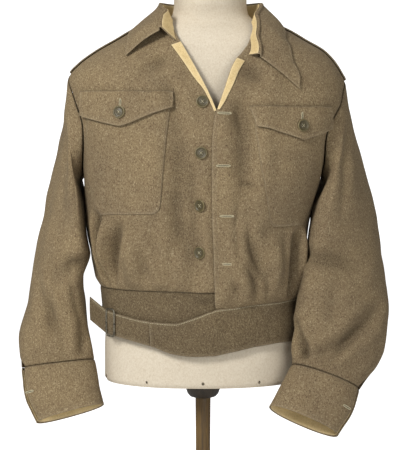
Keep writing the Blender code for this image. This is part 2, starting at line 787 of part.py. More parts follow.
def cuff_grid(side, start, end, steps, top, bottom, depths):
    """Grids of points round the cuff, one for each depth under its face, and the normals."""
    rows = [scaled_row(row) for row in CUFFS[side]]
    grid = []
    for down in np.linspace(top, bottom, 4):
        across = []
        for c in range(-1, steps + 2):
            angle = start + (end - start) * c / steps
            points = [ring_point(row, side, angle, CUFF_SQUARE) for row in rows]
            across.append([Curve(range(3), [p[k] for p in points])(down) for k in range(3)])
        grid.append(across)
    grid = np.array(grid)
    normals = grid_normals(grid) * side
    return [(grid - normals * depth)[:, 1:-1] for depth in depths] + [normals[:, 1:-1]]


def build_cuff(side, word, serge, drill):
    outer, inner, _ = cuff_grid(side, CUFF_FROM[side], CUFF_TO, CUFF_STEPS, 0.022, 2, (0, DOUBLE_CLOTH))
    cloth_solid("cuff_" + word, outer, DOUBLE_CLOTH, serge, inner=inner)
    depth = DOUBLE_CLOTH + 0.5 * MM
    span = (CUFF_FROM[side] + 1, CUFF_TO - 1, CUFF_STEPS, 0.13, 1.97, (depth, depth + LINING))
    outer, inner, _ = cuff_grid(side, *span)
    cloth_solid("cuff_lining_" + word, outer, LINING, drill, inner=inner)


# Collar


def collar_curves(side):
    rows = COLLAR[side]
    shares = [r[0] for r in rows]
    names = COLLAR_NAMES.split()
    plain = ("angle", "leaf_angle")
    return {n: Curve(shares, [r[i] * (1 if n in plain else MM) for r in rows]) for i, n in enumerate(names) if i}


def collar_section(side, share):
    """Seam, roll and leaf of the collar at one place round the neck, on the face that shows."""
    row = {name: curve(share) for name, curve in collar_curves(side).items()}
    neck = NECKLINE[side]
    height = Curve([r[0] for r in neck], [r[1] * MM for r in neck])(row["angle"])
    angle = side * row["angle"]
    seam = body_point(angle, min(height, 996 * MM))
    normal = body_normal(angle, height)
    out = np.array([normal[0], normal[1], 0]) / np.linalg.norm(normal[:2])
    seam = seam + normal * 0.8 * MM + np.array([0, 0, 0.8 * MM]) - out * 1.2 * MM
    roll = seam + out * row["roll_out"] + np.array([side * row["roll_side"], 0, row["roll_up"]])
    edge = body_point(side * row["leaf_angle"], row["leaf_height"], row["leaf_lift"])
    up = (roll - seam) / np.linalg.norm(roll - seam)
    over = edge - roll
    over -= up * (over @ up)
    over /= np.linalg.norm(over)
    centre = roll + over * ROLL_RADIUS - up * ROLL_RADIUS
    points = [seam, seam + (centre - over * ROLL_RADIUS - seam) * 0.5]
    for turn in (180, 120, 60, 0):
        lean = math.radians(turn)
        points.append(centre + ROLL_RADIUS * (math.cos(lean) * over + math.sin(lean) * up))
    last = points[-1]
    for t in (0.33, 0.68, 1.0):
        bulge = up * 4 * MM * math.sin(math.pi * t) * (1 - 0.3 * t)
        points.append(last + (edge - last) * t + bulge)
    return points


def build_collar(serge, drill):
    shares = np.linspace(0, 1, COLLAR_STEPS + 1)
    left = [collar_section(LEFT, s) for s in shares]
    right = [collar_section(RIGHT, s) for s in shares]
    sections = np.array(right + left[::-1][1:])
    grid = sections.transpose(1, 0, 2)
    outward = grid_normals(grid)
    cloth_solid("collar", grid, CLOTH, serge, inner=grid + outward * CLOTH * COLLAR_SENSE)
    stand = grid[:3, 0:].copy()
    stand[2] = stand[1] + (stand[2] - stand[1]) * 0.95
    stand[0] = stand[0] + (stand[1] - stand[0]) * 0.06
    normals = grid_normals(stand) * -COLLAR_SENSE
    near = stand + normals * (0.5 * MM + LINING)
    cloth_solid("collar_lining", near, LINING, drill, inner=stand + normals * 0.5 * MM)


COLLAR_SENSE = -1


# Pockets


def spot_at(x, height):
    return angle_at(x, height), height


def edge_curve(points, height):
    order = sorted(points, key=lambda p: p[1])
    return Curve([p[1] * MM for p in order], [p[0] * MM for p in order])(height)


def pocket_spots(side):
    shape = POCKETS[side]
    across, up = POCKET_STEPS
    low_inner, low_outer = shape["inner"][-1][1] * MM, shape["outer"][-1][1] * MM
    high = min(shape["flap_inner"][0][1], shape["flap_outer"][0][1]) * MM - 10 * MM
    grid = []
    for r in range(up + 1):
        share = r / up
        row = []
        for c in range(across + 1):
            s = c / across
            low = low_inner + (low_outer - low_inner) * s
            near = min(s, 1 - s) * 2 * 70 * MM
            if near < POCKET_CORNER:
                low += (POCKET_CORNER - math.sqrt(POCKET_CORNER**2 - (POCKET_CORNER - near) ** 2)) * 0.8
            height = low + (high - low) * share
            inner, outer = edge_curve(shape["inner"], height), edge_curve(shape["outer"], height)
            inner_angle, outer_angle = angle_at(inner, height), angle_at(outer, height)
            row.append((inner_angle + (outer_angle - inner_angle) * s, height))
        grid.append(row if side == LEFT else row[::-1])
    return grid


def flap_spots(side):
    shape = POCKETS[side]
    across, down = FLAP_STEPS
    (inner_top, inner_low), (outer_top, outer_low) = shape["flap_inner"], shape["flap_outer"]
    point = shape["flap_point"]
    grid = []
    for r in range(down + 1):
        row = []
        for c in range(across + 1):
            s = c / across
            top = between(spot_at(inner_top[0] * MM, inner_top[1] * MM), spot_at(outer_top[0] * MM, outer_top[1] * MM), s)
            half = (s * 2, inner_low, point) if s <= 0.5 else (s * 2 - 1, point, outer_low)
            begin = spot_at(half[1][0] * MM, half[1][1] * MM)
            finish = spot_at(half[2][0] * MM, half[2][1] * MM)
            low = between(begin, finish, half[0])
            row.append(between(low, top, r / down))
        grid.append(row if side == LEFT else row[::-1])
    return grid


def build_pockets(serge, brass):
    for side, word in ((RIGHT, "right"), (LEFT, "left")):
        over = front_lift(side)

        def raised(extra, over=over):
            return lambda angle, height: extra + (over(angle, height) if callable(over) else over)

        patch("pocket_" + word, pocket_spots(side), CLOTH * 0.8, serge, raised(CLOTH * 0.8 + LAY_GAP))
        shape = POCKETS[side]
        top, point = shape["flap_inner"][0][1] * MM, shape["flap_point"][1] * MM
        under = CLOTH * 0.8 + 1.5 * LAY_GAP + DOUBLE_CLOTH

        def flap_lift(angle, height, top=top, point=point, over=raised(under)):
            return over(angle, height) + 4 * MM * blend_in(top - height, 0, top - point)

        patch("pocket_flap_" + word, flap_spots(side), DOUBLE_CLOTH, serge, flap_lift)
        x, height = (v * MM for v in shape["button"])
        angle = angle_at(x, height)
        button("flap_button_" + word, angle, height, flap_lift(angle, height) + 1.0 * MM, brass)


def button(name, angle, height, lift, finish):
    point, normal = body_point(angle, height), body_normal(angle, height)
    turned_button(name, Vector(point + normal * lift), Vector(normal), finish)


def turned_button(name, centre, normal, finish):
    r, h = BUTTON_RADIUS, BUTTON_HEIGHT
    profile = ((0, 0), (0.72 * r, 0), (r, 0.45 * h), (0.95 * r, h), (0.76 * r, h), (0.6 * r, 0.6 * h), (0, 0.55 * h))
    turned(name, profile, BUTTON_SIDES, finish, centre=centre, tilt=normal)


# Waistband, belt and buckle


def band_spots(start, end, steps):
    grid = []
    for up in (0, 0.5, 1):
        row = []
        for c in range(steps + 1):
            angle = start + (end - start) * c / steps
            top = waist_seam(angle) if not -90 <= angle <= 20 else WAIST_TOP
            low = top - (WAIST_TOP - WAIST_BOTTOM)
            row.append((angle, low + (top - SEAM_GAP - low) * up))
        grid.append(row)
    return grid


def belt_curves():
    names = BELT_NAMES.split()
    return {n: Curve([r[0] * MM for r in BELT], [r[i] * MM for r in BELT]) for i, n in enumerate(names) if i}


def belt_grid(xs):
    """Points of the belt's face and back, from its table, bottom to top."""
    belt = belt_curves()
    outer, inner = [], []
    for up in (0, 0.5, 1):
        face, back = [], []
        for x in xs:
            low, high = belt["bottom"](x), belt["top"](x)
            sewn = blend_in(x, 16 * MM, 26 * MM)
            high += (waist_seam(angle_at(x, high)) - SEAM_GAP - high) * sewn
            height = low + (high - low) * up
            angle = angle_at(x, height)
            lift = belt["lift"](x) + 0.8 * MM * math.sin(math.pi * up)
            face.append(body_point(angle, height, lift))
            back.append(body_point(angle, height, lift - DOUBLE_CLOTH))
        outer.append(face)
        inner.append(back)
    return np.array(outer), np.array(inner)


def build_waist(serge, steel):
    patch("waistband_right", band_spots(-89.85, 12, 14), DOUBLE_CLOTH, serge, -1.2 * MM)
    patch("waistband_back", band_spots(90.15, 269.85, 22), DOUBLE_CLOTH, serge, 0.0)
    xs = np.concatenate([np.linspace(-87, 150, 14)]) * MM
    outer, inner = belt_grid(xs)
    side_angles = (75, 89.85)
    ends = []
    for grid_lift in (0.0, -DOUBLE_CLOTH):
        columns = []
        for angle in side_angles:
            top = waist_seam(angle) - SEAM_GAP
            low = waist_seam(angle) - (WAIST_TOP - WAIST_BOTTOM)
            columns.append([body_point(angle, low + (top - low) * up, grid_lift) for up in (0, 0.5, 1)])
        ends.append(np.array(columns).transpose(1, 0, 2))
    outer = np.concatenate([outer[:, :-1], ends[0]], axis=1)
    inner = np.concatenate([inner[:, :-1], ends[1]], axis=1)
    cloth_solid("waistband_left", outer, DOUBLE_CLOTH, serge, inner=inner)
    build_tongue(serge)
    build_buckle(serge, steel)


def tongue_grid():
    xs = np.linspace(TONGUE_TO, TONGUE_FROM, 7) * MM
    outer, inner = belt_grid(xs)
    ahead = outer[:, 0] - outer[:, 1]
    ahead /= np.linalg.norm(ahead, axis=1, keepdims=True)
    free_outer, free_inner = [], []
    for share in (1.0, 0.66, 0.33):
        shift = ahead * TONGUE_FREE * share + np.array([0, 0, TONGUE_FREE_RISE * share])
        free_outer.append(outer[:, 0] + shift)
        free_inner.append(inner[:, 0] + shift)
    outer = np.concatenate([np.array(free_outer).transpose(1, 0, 2), outer], axis=1)
    inner = np.concatenate([np.array(free_inner).transpose(1, 0, 2), inner], axis=1)
    return outer, inner


def build_tongue(serge):
    outer, inner = tongue_grid()
    cloth_solid("belt_tongue", outer, DOUBLE_CLOTH, serge, inner=inner)


def build_buckle(serge, steel):
    """A wire frame through which the tongue runs, on a short tab sewn to the right of the waistband."""
    height = 475 * MM
    angle = angle_at(BUCKLE_X * MM, height)
    lift = belt_curves()["lift"](BUCKLE_X * MM) + 2.2 * MM
    point, normal = body_point(angle, height, lift), body_normal(angle, height)
    up = np.array([0.0, 0.0, 1.0])
    along = np.cross(up, normal)
    along /= np.linalg.norm(along)
    lean = along * 0.0
    half_width, half_height = BUCKLE_WIDTH / 2, BUCKLE_HEIGHT / 2
    shell = bmesh.new()
    for wire in (BUCKLE_WIRE,):
        rings = []
        for part_out, part_in in ((half_width + wire, half_height + wire), (half_width - wire, half_height - wire)):
            for depth in (-wire, wire):
                corners = []
                for sx, sz in ((-1, -1), (1, -1), (1, 1), (-1, 1)):
                    place = point + along * sx * part_out + up * sz * part_in + normal * depth + lean
                    corners.append(shell.verts.new(place))
                rings.append(corners)
        outer_low, outer_high, inner_low, inner_high = rings
        for i in range(4):
            j = (i + 1) % 4
            shell.faces.new((outer_low[i], outer_low[j], outer_high[j], outer_high[i]))
            shell.faces.new((inner_low[j], inner_low[i], inner_high[i], inner_high[j]))
            shell.faces.new((outer_high[i], outer_high[j], inner_high[j], inner_high[i]))
            shell.faces.new((outer_low[j], outer_low[i], inner_low[i], inner_low[j]))
    finish_mesh("buckle", shell, steel)


# Shoulder straps


def build_straps(serge):
    for side, word in ((RIGHT, "right"), (LEFT, "left")):
        column = BODY["left"] if side == LEFT else BODY["right"]
        heights = np.linspace(SHOULDER_HEIGHT[side] + 2 * MM, 990 * MM, 200)
        inner = next(h for h in heights if column(h) < STRAP_INNER_X[side])
        grid = []
        for share in np.linspace(0, 1, 8):
            height = heights[0] + (inner - heights[0]) * share
            row = []
            narrow = 1 - 0.16 * share
            for y in np.linspace(STRAP_FRONT, STRAP_BACK, 4) * narrow:
                row.append((angle_at_depth(y, height, side), height))
            grid.append(row if side == LEFT else row[::-1])
        patch("shoulder_strap_" + word, grid, DOUBLE_CLOTH, serge, STRAP_LIFT)


def build_buttons(brass):
    for i, (x, height) in enumerate(FRONT_BUTTONS, 1):
        button(f"front_button_{i}", angle_at(x * MM, height * MM), height * MM, 0.7 * MM, brass)


def build_cuff_buttons(brass):
    for side, word in ((RIGHT, "right"), (LEFT, "left")):
        face, normals = cuff_grid(side, 290, 350, 2, 0.9, 1.1, (0,))
        centre, normal = face[1, 1], normals[1, 1]
        turned_button("cuff_button_" + word, Vector(centre - normal * 0.2 * MM), Vector(normal), brass)


# Dress form and stand


def form_ring(height):
    points = []
    for i in range(FORM_SIDES):
        angle = 360 * i / FORM_SIDES
        half, face, square = ring_sizes(FORM, angle, height)
        if 880 * MM < height < 998 * MM:
            half = min(half, ring_sizes(BODY, angle, height)[0] - SHOULDER_EASE)
            face = min(face, ring_sizes(BODY, angle, height)[1] - SHOULDER_EASE)
        turn = math.radians(angle)
        reach = ring_reach(turn, square)
        points.append((half * reach * math.sin(turn), -face * reach * math.cos(turn), height))
    return points


def build_form(linen, wood, dark_wood):
    heights = np.array([365, 430, 520, 600, 690, 780, 850, 892, 913, 930, 944, 958, 972, 986, 1003, 1020, 1056, 1064, 1066])
    shell = bmesh.new()
    rings = [[shell.verts.new(p) for p in form_ring(h * MM)] for h in heights]
    for low, high in zip(rings, rings[1:]):
        for i in range(FORM_SIDES):
            j = (i + 1) % FORM_SIDES
            shell.faces.new((low[i], low[j], high[j], high[i]))
    shell.faces.new(rings[0][::-1])
    shell.faces.new(rings[-1])
    finish_mesh("form_torso", shell, linen)
    top = FORM_BOTTOM - SEAM_GAP
    low = top - FLANGE_HEIGHT
    r = FLANGE_RADIUS
    flange = ((0, low), (0.62 * r, low), (0.9 * r, low + 0.3 * FLANGE_HEIGHT), (r, low + 0.6 * FLANGE_HEIGHT), (r, top), (0, top))
    turned("form_flange", flange, 16, dark_wood)
    pole_top, pole_low = low - SEAM_GAP, FLOOR_BASE_HEIGHT + SEAM_GAP
    p = POLE_RADIUS
    pole = ((0, pole_low), (1.5 * p, pole_low), (1.5 * p, pole_low + 14 * MM), (p, pole_low + 24 * MM), (0.93 * p, 180 * MM))
    turned("stand_pole", (*pole, (p, pole_top), (0, pole_top)), 16, wood)
    b, h = FLOOR_BASE_RADIUS, FLOOR_BASE_HEIGHT
    base = ((0, 0), (b, 0), (b, 0.45 * h), (0.95 * b, 0.75 * h), (0.45 * b, 0.86 * h), (0.2 * b, h), (0, h))
    turned("stand_base", base, 32, wood)


def build():
    serge = material("wool_serge", (0.235, 0.176, 0.105), 0.92)
    drill = material("cotton_drill", (0.60, 0.45, 0.22), 0.85)
    brass = material("olive_button", (0.17, 0.135, 0.055), 0.45)
    steel = material("buckle_steel", (0.16, 0.14, 0.10), 0.4, 1.0)
    linen = material("form_cloth", (0.74, 0.64, 0.50), 0.8)
    wood = material("stand_wood", (0.20, 0.10, 0.035), 0.4)
    dark_wood = material("flange_wood", (0.045, 0.028, 0.015), 0.45)
    build_form(linen, wood, dark_wood)
    build_body(serge, drill)
    build_collar(serge, drill)
    build_pockets(serge, brass)
    build_buttons(brass)
    build_waist(serge, steel)
    build_straps(serge)
    for side, word in ((RIGHT, "right"), (LEFT, "left")):
        build_sleeve(side, word, serge)
        build_cuff(side, word, serge, drill)
    build_cuff_buttons(brass)


clear_scene()
FOLD_LINES = find_fold_lines()
SLEEVE_TABLES = {side: [scaled_row(row) for row in rows] for side, rows in SLEEVES.items()}
build()
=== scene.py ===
import math

import bmesh
import bpy
import numpy as np
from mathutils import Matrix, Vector


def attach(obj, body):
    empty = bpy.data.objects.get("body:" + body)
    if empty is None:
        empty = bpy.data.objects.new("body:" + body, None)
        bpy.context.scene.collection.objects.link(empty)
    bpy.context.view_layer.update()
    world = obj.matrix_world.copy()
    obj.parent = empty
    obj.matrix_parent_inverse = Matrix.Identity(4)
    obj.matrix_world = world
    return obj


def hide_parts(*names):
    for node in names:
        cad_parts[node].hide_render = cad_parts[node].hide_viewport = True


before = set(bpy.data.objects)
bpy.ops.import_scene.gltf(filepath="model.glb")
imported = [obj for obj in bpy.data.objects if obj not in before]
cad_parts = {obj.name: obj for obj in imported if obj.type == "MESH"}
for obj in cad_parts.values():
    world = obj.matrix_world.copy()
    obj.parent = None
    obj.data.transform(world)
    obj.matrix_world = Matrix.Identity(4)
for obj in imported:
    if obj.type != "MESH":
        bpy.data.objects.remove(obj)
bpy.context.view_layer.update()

mm = 0.001
right, left = -1, 1  # of the wearer, who looks along -Y
sides = ((right, "right"), (left, "left"))
borders = ("left", "right", "bottom", "top")

# Sizes shared by all the sewn pieces
jacket = {
    "cloth": 2.0 * mm,
    "doubleCloth": 2.6 * mm,
    "lining": 1.0 * mm,
    "seamGap": 0.35 * mm,
    "layGap": 1.2 * mm,
    "armpit": 720 * mm,
    "shoulder": {right: 896 * mm, left: 884 * mm},
    "neckPoint": 994 * mm,
    "armholeCut": (27.0, 29.0),
    "seamDip": 1.0 * mm,
    "seamReach": 2.4 * mm,
    "hemGroove": 0.4 * mm,
    "grooveWidth": 1.2 * mm,
    "rim": (0.9, 0.12),  # how far the wall rounds outwards, at a free and at a sewn border
}


class Smooth:
    # a smooth curve with no overshoot through rows of values, read along the first axis
    def __init__(self, at, values):
        self.at, self.values = np.array(at, float), np.array(values, float)
        steps = np.diff(self.at).reshape((-1,) + (1,) * (self.values.ndim - 1))
        slopes = np.diff(self.values, axis=0) / steps
        before, after = 2 * steps[1:] + steps[:-1], steps[1:] + 2 * steps[:-1]
        with np.errstate(divide="ignore", invalid="ignore"):
            mean = (before + after) / (before / slopes[:-1] + after / slopes[1:])
        mean = np.where(slopes[:-1] * slopes[1:] > 0, mean, 0)
        self.pull = np.concatenate([slopes[:1], mean, slopes[-1:]])

    def __call__(self, where):
        where = np.clip(np.asarray(where, float), self.at[0], self.at[-1])
        i = np.clip(np.searchsorted(self.at, where) - 1, 0, len(self.at) - 2)
        wide = (...,) + (None,) * (self.values.ndim - 1)
        step = (self.at[i + 1] - self.at[i])[wide]
        t = (where - self.at[i])[wide] / step
        start, end = self.values[i], self.values[i + 1]
        bend = self.pull[i] * (1 - t) + -self.pull[i + 1] * t
        return start * (1 + 2 * t) * (1 - t) ** 2 + end * t * t * (3 - 2 * t) + bend * step * t * (1 - t)


def smoothTable(names, rows, plain=()):
    names = names.split()
    columns = {n: [r[i] * (1 if n in plain else mm) for r in rows] for i, n in enumerate(names)}
    return {n: Smooth(columns[names[0]], columns[n]) for n in names[1:]}


def blendIn(value, start, end):
    t = np.clip((value - start) / (end - start), 0, 1)
    return t * t * (3 - 2 * t)


def unit(vectors):
    return vectors / np.maximum(np.linalg.norm(vectors, axis=-1, keepdims=True), 1e-12)


def waves(points, seed, bands):
    # low swells with no direction of their own: bands are (wavelength, height, how many)
    rng = np.random.default_rng(seed)
    total = np.zeros(points.shape[:-1])
    for wavelength, height, count in bands:
        for _ in range(count):
            heading = unit(rng.normal(size=3)) * 2 * math.pi / (wavelength * rng.uniform(0.75, 1.3))
            total += height * np.sin(points @ heading + rng.uniform(0, 6.3)) / math.sqrt(count)
    return total


# The jacket round the body, hem of the waistband to the neck, in millimetres from the floor and the centre
body = smoothTable(
    "height left right front back square",
    (
        (440, 170, 177, 113, 104, 2.3), (528, 171, 180, 119, 108, 2.3), (548, 173, 187, 131, 119, 2.3),
        (600, 177, 198, 140, 126, 2.5), (660, 185, 204, 140, 126, 2.6), (725, 204, 206, 137, 126, 2.7),
        (800, 224, 214, 131, 125, 2.7), (850, 243, 225, 125, 122, 2.6), (884, 244, 231, 116, 118, 2.5),
        (896, 238, 228, 112, 116, 2.5), (913, 228, 212, 106, 112, 2.4), (934, 209, 184, 97, 107, 2.3),
        (953, 177, 151, 87, 100, 2.2), (972, 144, 118, 76, 92, 2.1), (985, 110, 85, 69, 86, 2.0),
        (997, 88, 63, 64, 81, 2.0),
    ),
    plain=("square",),
)
waist = {
    "sag": smoothTable(
        "angle drop",
        ((-180, 4), (-120, 0), (-20, 0), (8, 26), (30, 22), (90, 18), (130, 12), (180, 4)),
        plain=("angle",),
    )["drop"],
    "top": 531 * mm,
    "bottom": 458 * mm,
    "gathers": 26,
    "gatherDepth": 2.2 * mm,
    "gatherReach": 70 * mm,
}

# Creases of the body cloth: face, x and height at both ends, half width, rise, and how far the line bows aside
bodyCreases = (
    ("front", -178, 655, -163, 538, 9, -16, 0),
    ("front", -163, 640, -158, 540, 8, 6, 0),
    ("front", -141, 640, -152, 538, 8, -13, 0),
    ("front", -116, 615, -122, 540, 10, 5, 0),
    ("front", -40, 800, -34, 600, 15, -5, 0),
    ("front", -28, 640, -8, 545, 11, -7, 0),
    ("front", 66, 850, 70, 660, 13, -6, 0),
    ("front", 74, 620, 100, 530, 12, -7, 0),
    ("front", 120, 612, 128, 520, 13, 5, 0),
    ("front", 157, 622, 150, 520, 9, -16, 0),
    ("front", 168, 628, 162, 520, 9, 5, 0),
    ("back", -203, 700, -193, 575, 22, 3, 0),
    ("back", 186, 700, 172, 560, 22, 11, 0),
    ("back", -165, 690, -140, 545, 13, -10, 0),
    ("back", -110, 640, -104, 545, 12, -9, 0),
    ("back", -66, 700, -60, 545, 14, -6, 0),
    ("back", 60, 690, 52, 535, 14, -7, 0),
    ("back", 104, 640, 100, 535, 12, -9, 0),
    ("back", 160, 690, 140, 535, 13, -11, 0),
    ("back", -120, 860, -40, 800, 16, -5, 0),
    ("back", 130, 850, 50, 790, 16, -5, 0),
    # the finer ones
    ("front", -16, 742, 4, 560, 7, -3.5, 5),
    ("front", -44, 690, -52, 570, 8, -2.5, -4),
    ("front", -82, 650, -72, 556, 7, -2.5, 3),
    ("front", -100, 600, -94, 545, 6, -2.2, 0),
    ("front", 66, 712, 92, 700, 5, -3.2, -3),
    ("front", 58, 690, 64, 560, 5, -1.8, 4),
    ("front", 74, 640, 106, 560, 7, -3.0, 6),
    ("front", 70, 575, 88, 528, 6, -3.5, -3),
    ("front", 50, 548, 66, 522, 5, -2.5, 0),
    ("front", 112, 570, 110, 522, 6, -2.5, 0),
    ("front", 56, 842, 78, 792, 8, -3.2, 5),
    ("front", 78, 906, 88, 872, 14, -9, 0),
    ("front", -66, 926, -80, 890, 13, -8, 0),
    ("front", -62, 884, -46, 800, 9, -4.5, -5),
    ("front", -92, 900, -120, 872, 10, -2.0, 0),
    ("front", 120, 900, 150, 862, 10, -2.0, 0),
    ("back", -140, 760, -70, 700, 12, -2.5, 8),
    ("back", 140, 770, 60, 690, 12, -2.5, -8),
    ("back", -20, 620, -26, 548, 8, -3.5, 0),
    ("back", 18, 600, 22, 548, 8, -3.0, 0),
)
creaseRadius = 165 * mm
creaseGain = (1.9, 1.25)  # the shallow and the deep ones


def level(angle, height):
    # the waist hangs lower on the wearer's left, so the table is read a little higher there
    turn = (angle + 180) % 360 - 180
    return height + waist["sag"](turn) * (1 - blendIn(height, 560 * mm, 760 * mm))


def ringReach(turn, square):
    return (np.abs(np.cos(turn)) ** square + np.abs(np.sin(turn)) ** square) ** (-1 / square)


def ringSizes(shape, angle, height):
    turn = np.radians(angle)
    half = np.where(np.sin(turn) > 0, shape["left"](height), shape["right"](height))
    face = np.where(np.cos(turn) > 0, shape["front"](height), shape["back"](height))
    return half, face, shape["square"](height)


def offAxis(share, square):
    share = np.clip(share, 1e-4, 0.9995)
    return np.degrees(np.arctan2(1.0, ((1 / share) ** square - 1) ** (1 / square)))


def angleAt(x, height, back=False):
    x, height = np.broadcast_arrays(np.asarray(x, float), height)
    across = np.where(x >= 0, 90, -90)
    half, _, square = ringSizes(body, across, level(across / 2, height))
    angle = offAxis(np.abs(x) / half, square)
    return np.copysign(180 - angle if back else angle, x)


def angleAtDepth(y, height, side):
    _, face, square = ringSizes(body, np.where(y > 0, 180, 0), height)
    return side * (90 + np.copysign(offAxis(np.abs(y) / face, square), y))


def creaseLines():
    lines = []
    for face, x0, z0, x1, z1, width, rise, bow in bodyCreases:
        turns = [math.radians(float(angleAt(x * mm, z * mm, face == "back"))) for x, z in ((x0, z0), (x1, z1))]
        lines.append((turns, (z0 * mm, z1 * mm), width * mm, rise * creaseGain[abs(rise) > 6] * mm, bow * mm))
    return lines


bodyLines = creaseLines()


def creaseProfile(off, width, rise):
    # a furrow with a low swell on each side, or a ridge with a low dip
    near = np.abs(off) / width
    return rise * (np.exp(-near**2) - 0.3 * np.exp(-(((near - 1.9) / 0.8) ** 2)))


def creaseRise(angle, height):
    turn = np.radians((angle + 180) % 360 - 180)
    rise = np.zeros(np.broadcast(turn, height).shape)
    for turns, heights, width, depth, bow in bodyLines:
        run, climb = (turns[1] - turns[0]) * creaseRadius, heights[1] - heights[0]
        length = math.hypot(run, climb)
        x, z = (turn - turns[0]) * creaseRadius, height - heights[0]
        along = (x * run + z * climb) / length**2
        held = np.clip(along, 0, 1)
        across = (x * climb - z * run) / length - bow * 4 * held * (1 - held)
        off = np.hypot(across, (along - held) * length)
        taper = np.where(along < 1, np.sin(math.pi * (0.06 + 0.94 * held) ** 0.8) ** 0.7, 0)
        start = 1 - blendIn(height, heights[0] - 30 * mm, heights[0])
        fade = np.where(height > heights[1], start, 1.0)
        rise += creaseProfile(off, width, depth) * np.maximum(taper, 0.35 * fade)
    above = height - waistSeam(angle)
    reach = np.maximum(0.0, 1 - above / waist["gatherReach"])
    rise += waist["gatherDepth"] * np.cos(waist["gathers"] * turn + 3 * np.sin(2 * turn)) * reach
    return rise * blendIn(above, 1 * mm, 16 * mm) * (1 - blendIn(height, 915 * mm, 935 * mm))


def waistSeam(angle):
    return waist["top"] - waist["sag"]((angle + 180) % 360 - 180)


def smoothPoint(angle, height):
    angle, height = np.broadcast_arrays(np.asarray(angle, float), np.asarray(height, float))
    half, face, square = ringSizes(body, angle, level(angle, height))
    turn = np.radians(angle)
    reach = ringReach(turn, square)
    return np.stack([half * reach * np.sin(turn), -face * reach * np.cos(turn), height], -1)


def bodyPoint(angle, height, lift=None):
    point = smoothPoint(angle, height)
    half, face, _ = ringSizes(body, angle, level(angle, height))
    out = unit(np.stack([point[..., 0] / half**2, point[..., 1] / face**2, 0 * point[..., 0]], -1))
    swell = waves(point, 11, ((110 * mm, 0.9 * mm, 5), (46 * mm, 0.42 * mm, 7), (22 * mm, 0.12 * mm, 7)))
    swell = swell * blendIn(height - waistSeam(angle), 0, 20 * mm) * (1 - blendIn(height, 900 * mm, 940 * mm))
    point = point + out * (creaseRise(angle, height) + swell)[..., None]
    if lift is None:
        return point
    return point + bodyNormal(angle, height) * np.asarray(lift)[..., None]


def bodyNormal(angle, height):
    high = np.minimum(height + 2 * mm, 996.9 * mm)
    around = bodyPoint(angle + 0.8, height) - bodyPoint(angle - 0.8, height)
    return unit(np.cross(around, bodyPoint(angle, high) - bodyPoint(angle, high - 4 * mm)))


def spotOf(point):
    x, y, height = point[..., 0], point[..., 1], point[..., 2]
    angle = np.degrees(np.arctan2(x, -y))
    for _ in range(3):
        half, face, _ = ringSizes(body, angle, level(angle, height))
        angle = np.degrees(np.arctan2(x / half, -y / face))
    return angle, height


def armhole(side, turn):
    # 0 at the shoulder, 90 at the front, 180 at the armpit
    turn = np.radians(turn)
    up = (1 + np.cos(turn)) / 2
    cut = np.where(np.sin(turn) >= 0, jacket["armholeCut"][0], -jacket["armholeCut"][1])
    angle = 90 - cut * np.maximum(np.sin(math.pi * up), 0.0) ** 0.62
    return side * angle, jacket["armpit"] + up * (jacket["shoulder"][side] - jacket["armpit"])


# Meshes


def spread(count, length, fine=(0.7, 1.5, 2.6, 4.0, 5.8)):
    # shares from 0 to 1 that lie closer together towards both ends
    ends = np.array((0,) + fine) * mm / length
    return np.concatenate([ends, np.linspace(ends[-1], 1 - ends[-1], count)[1:-1], 1 - ends[::-1]])


def gridNormals(grid, turn=1):
    return unit(np.cross(np.gradient(grid, axis=1), np.gradient(grid, axis=0))) * turn


def borderDistances(grid):
    across = np.zeros(grid.shape[:2])
    up = np.zeros(grid.shape[:2])
    across[:, 1:] = np.cumsum(np.linalg.norm(np.diff(grid, axis=1), axis=2), axis=1)
    up[1:] = np.cumsum(np.linalg.norm(np.diff(grid, axis=0), axis=2), axis=0)
    return {"left": across, "right": across[:, -1:] - across, "bottom": up, "top": up[-1:] - up}


def addObject(name, data):
    obj = bpy.data.objects.new(name, data)
    bpy.context.scene.collection.objects.link(obj)
    return obj


def meshObject(name, points, faces, finish, uv=None, values=None):
    mesh = bpy.data.meshes.new(name)
    mesh.from_pydata(np.asarray(points, float).tolist(), [], faces)
    mesh.validate()
    if uv is not None:
        corner = np.zeros(len(mesh.loops), int)
        mesh.loops.foreach_get("vertex_index", corner)
        mesh.uv_layers.new(name="cloth").data.foreach_set("uv", np.asarray(uv, float)[corner].ravel())
    for key, value in (values or {}).items():
        mesh.attributes.new(key, "FLOAT", "POINT").data.foreach_set("value", np.asarray(value, float))
    mesh.shade_smooth()
    mesh.materials.append(finish)
    return addObject(name, mesh)


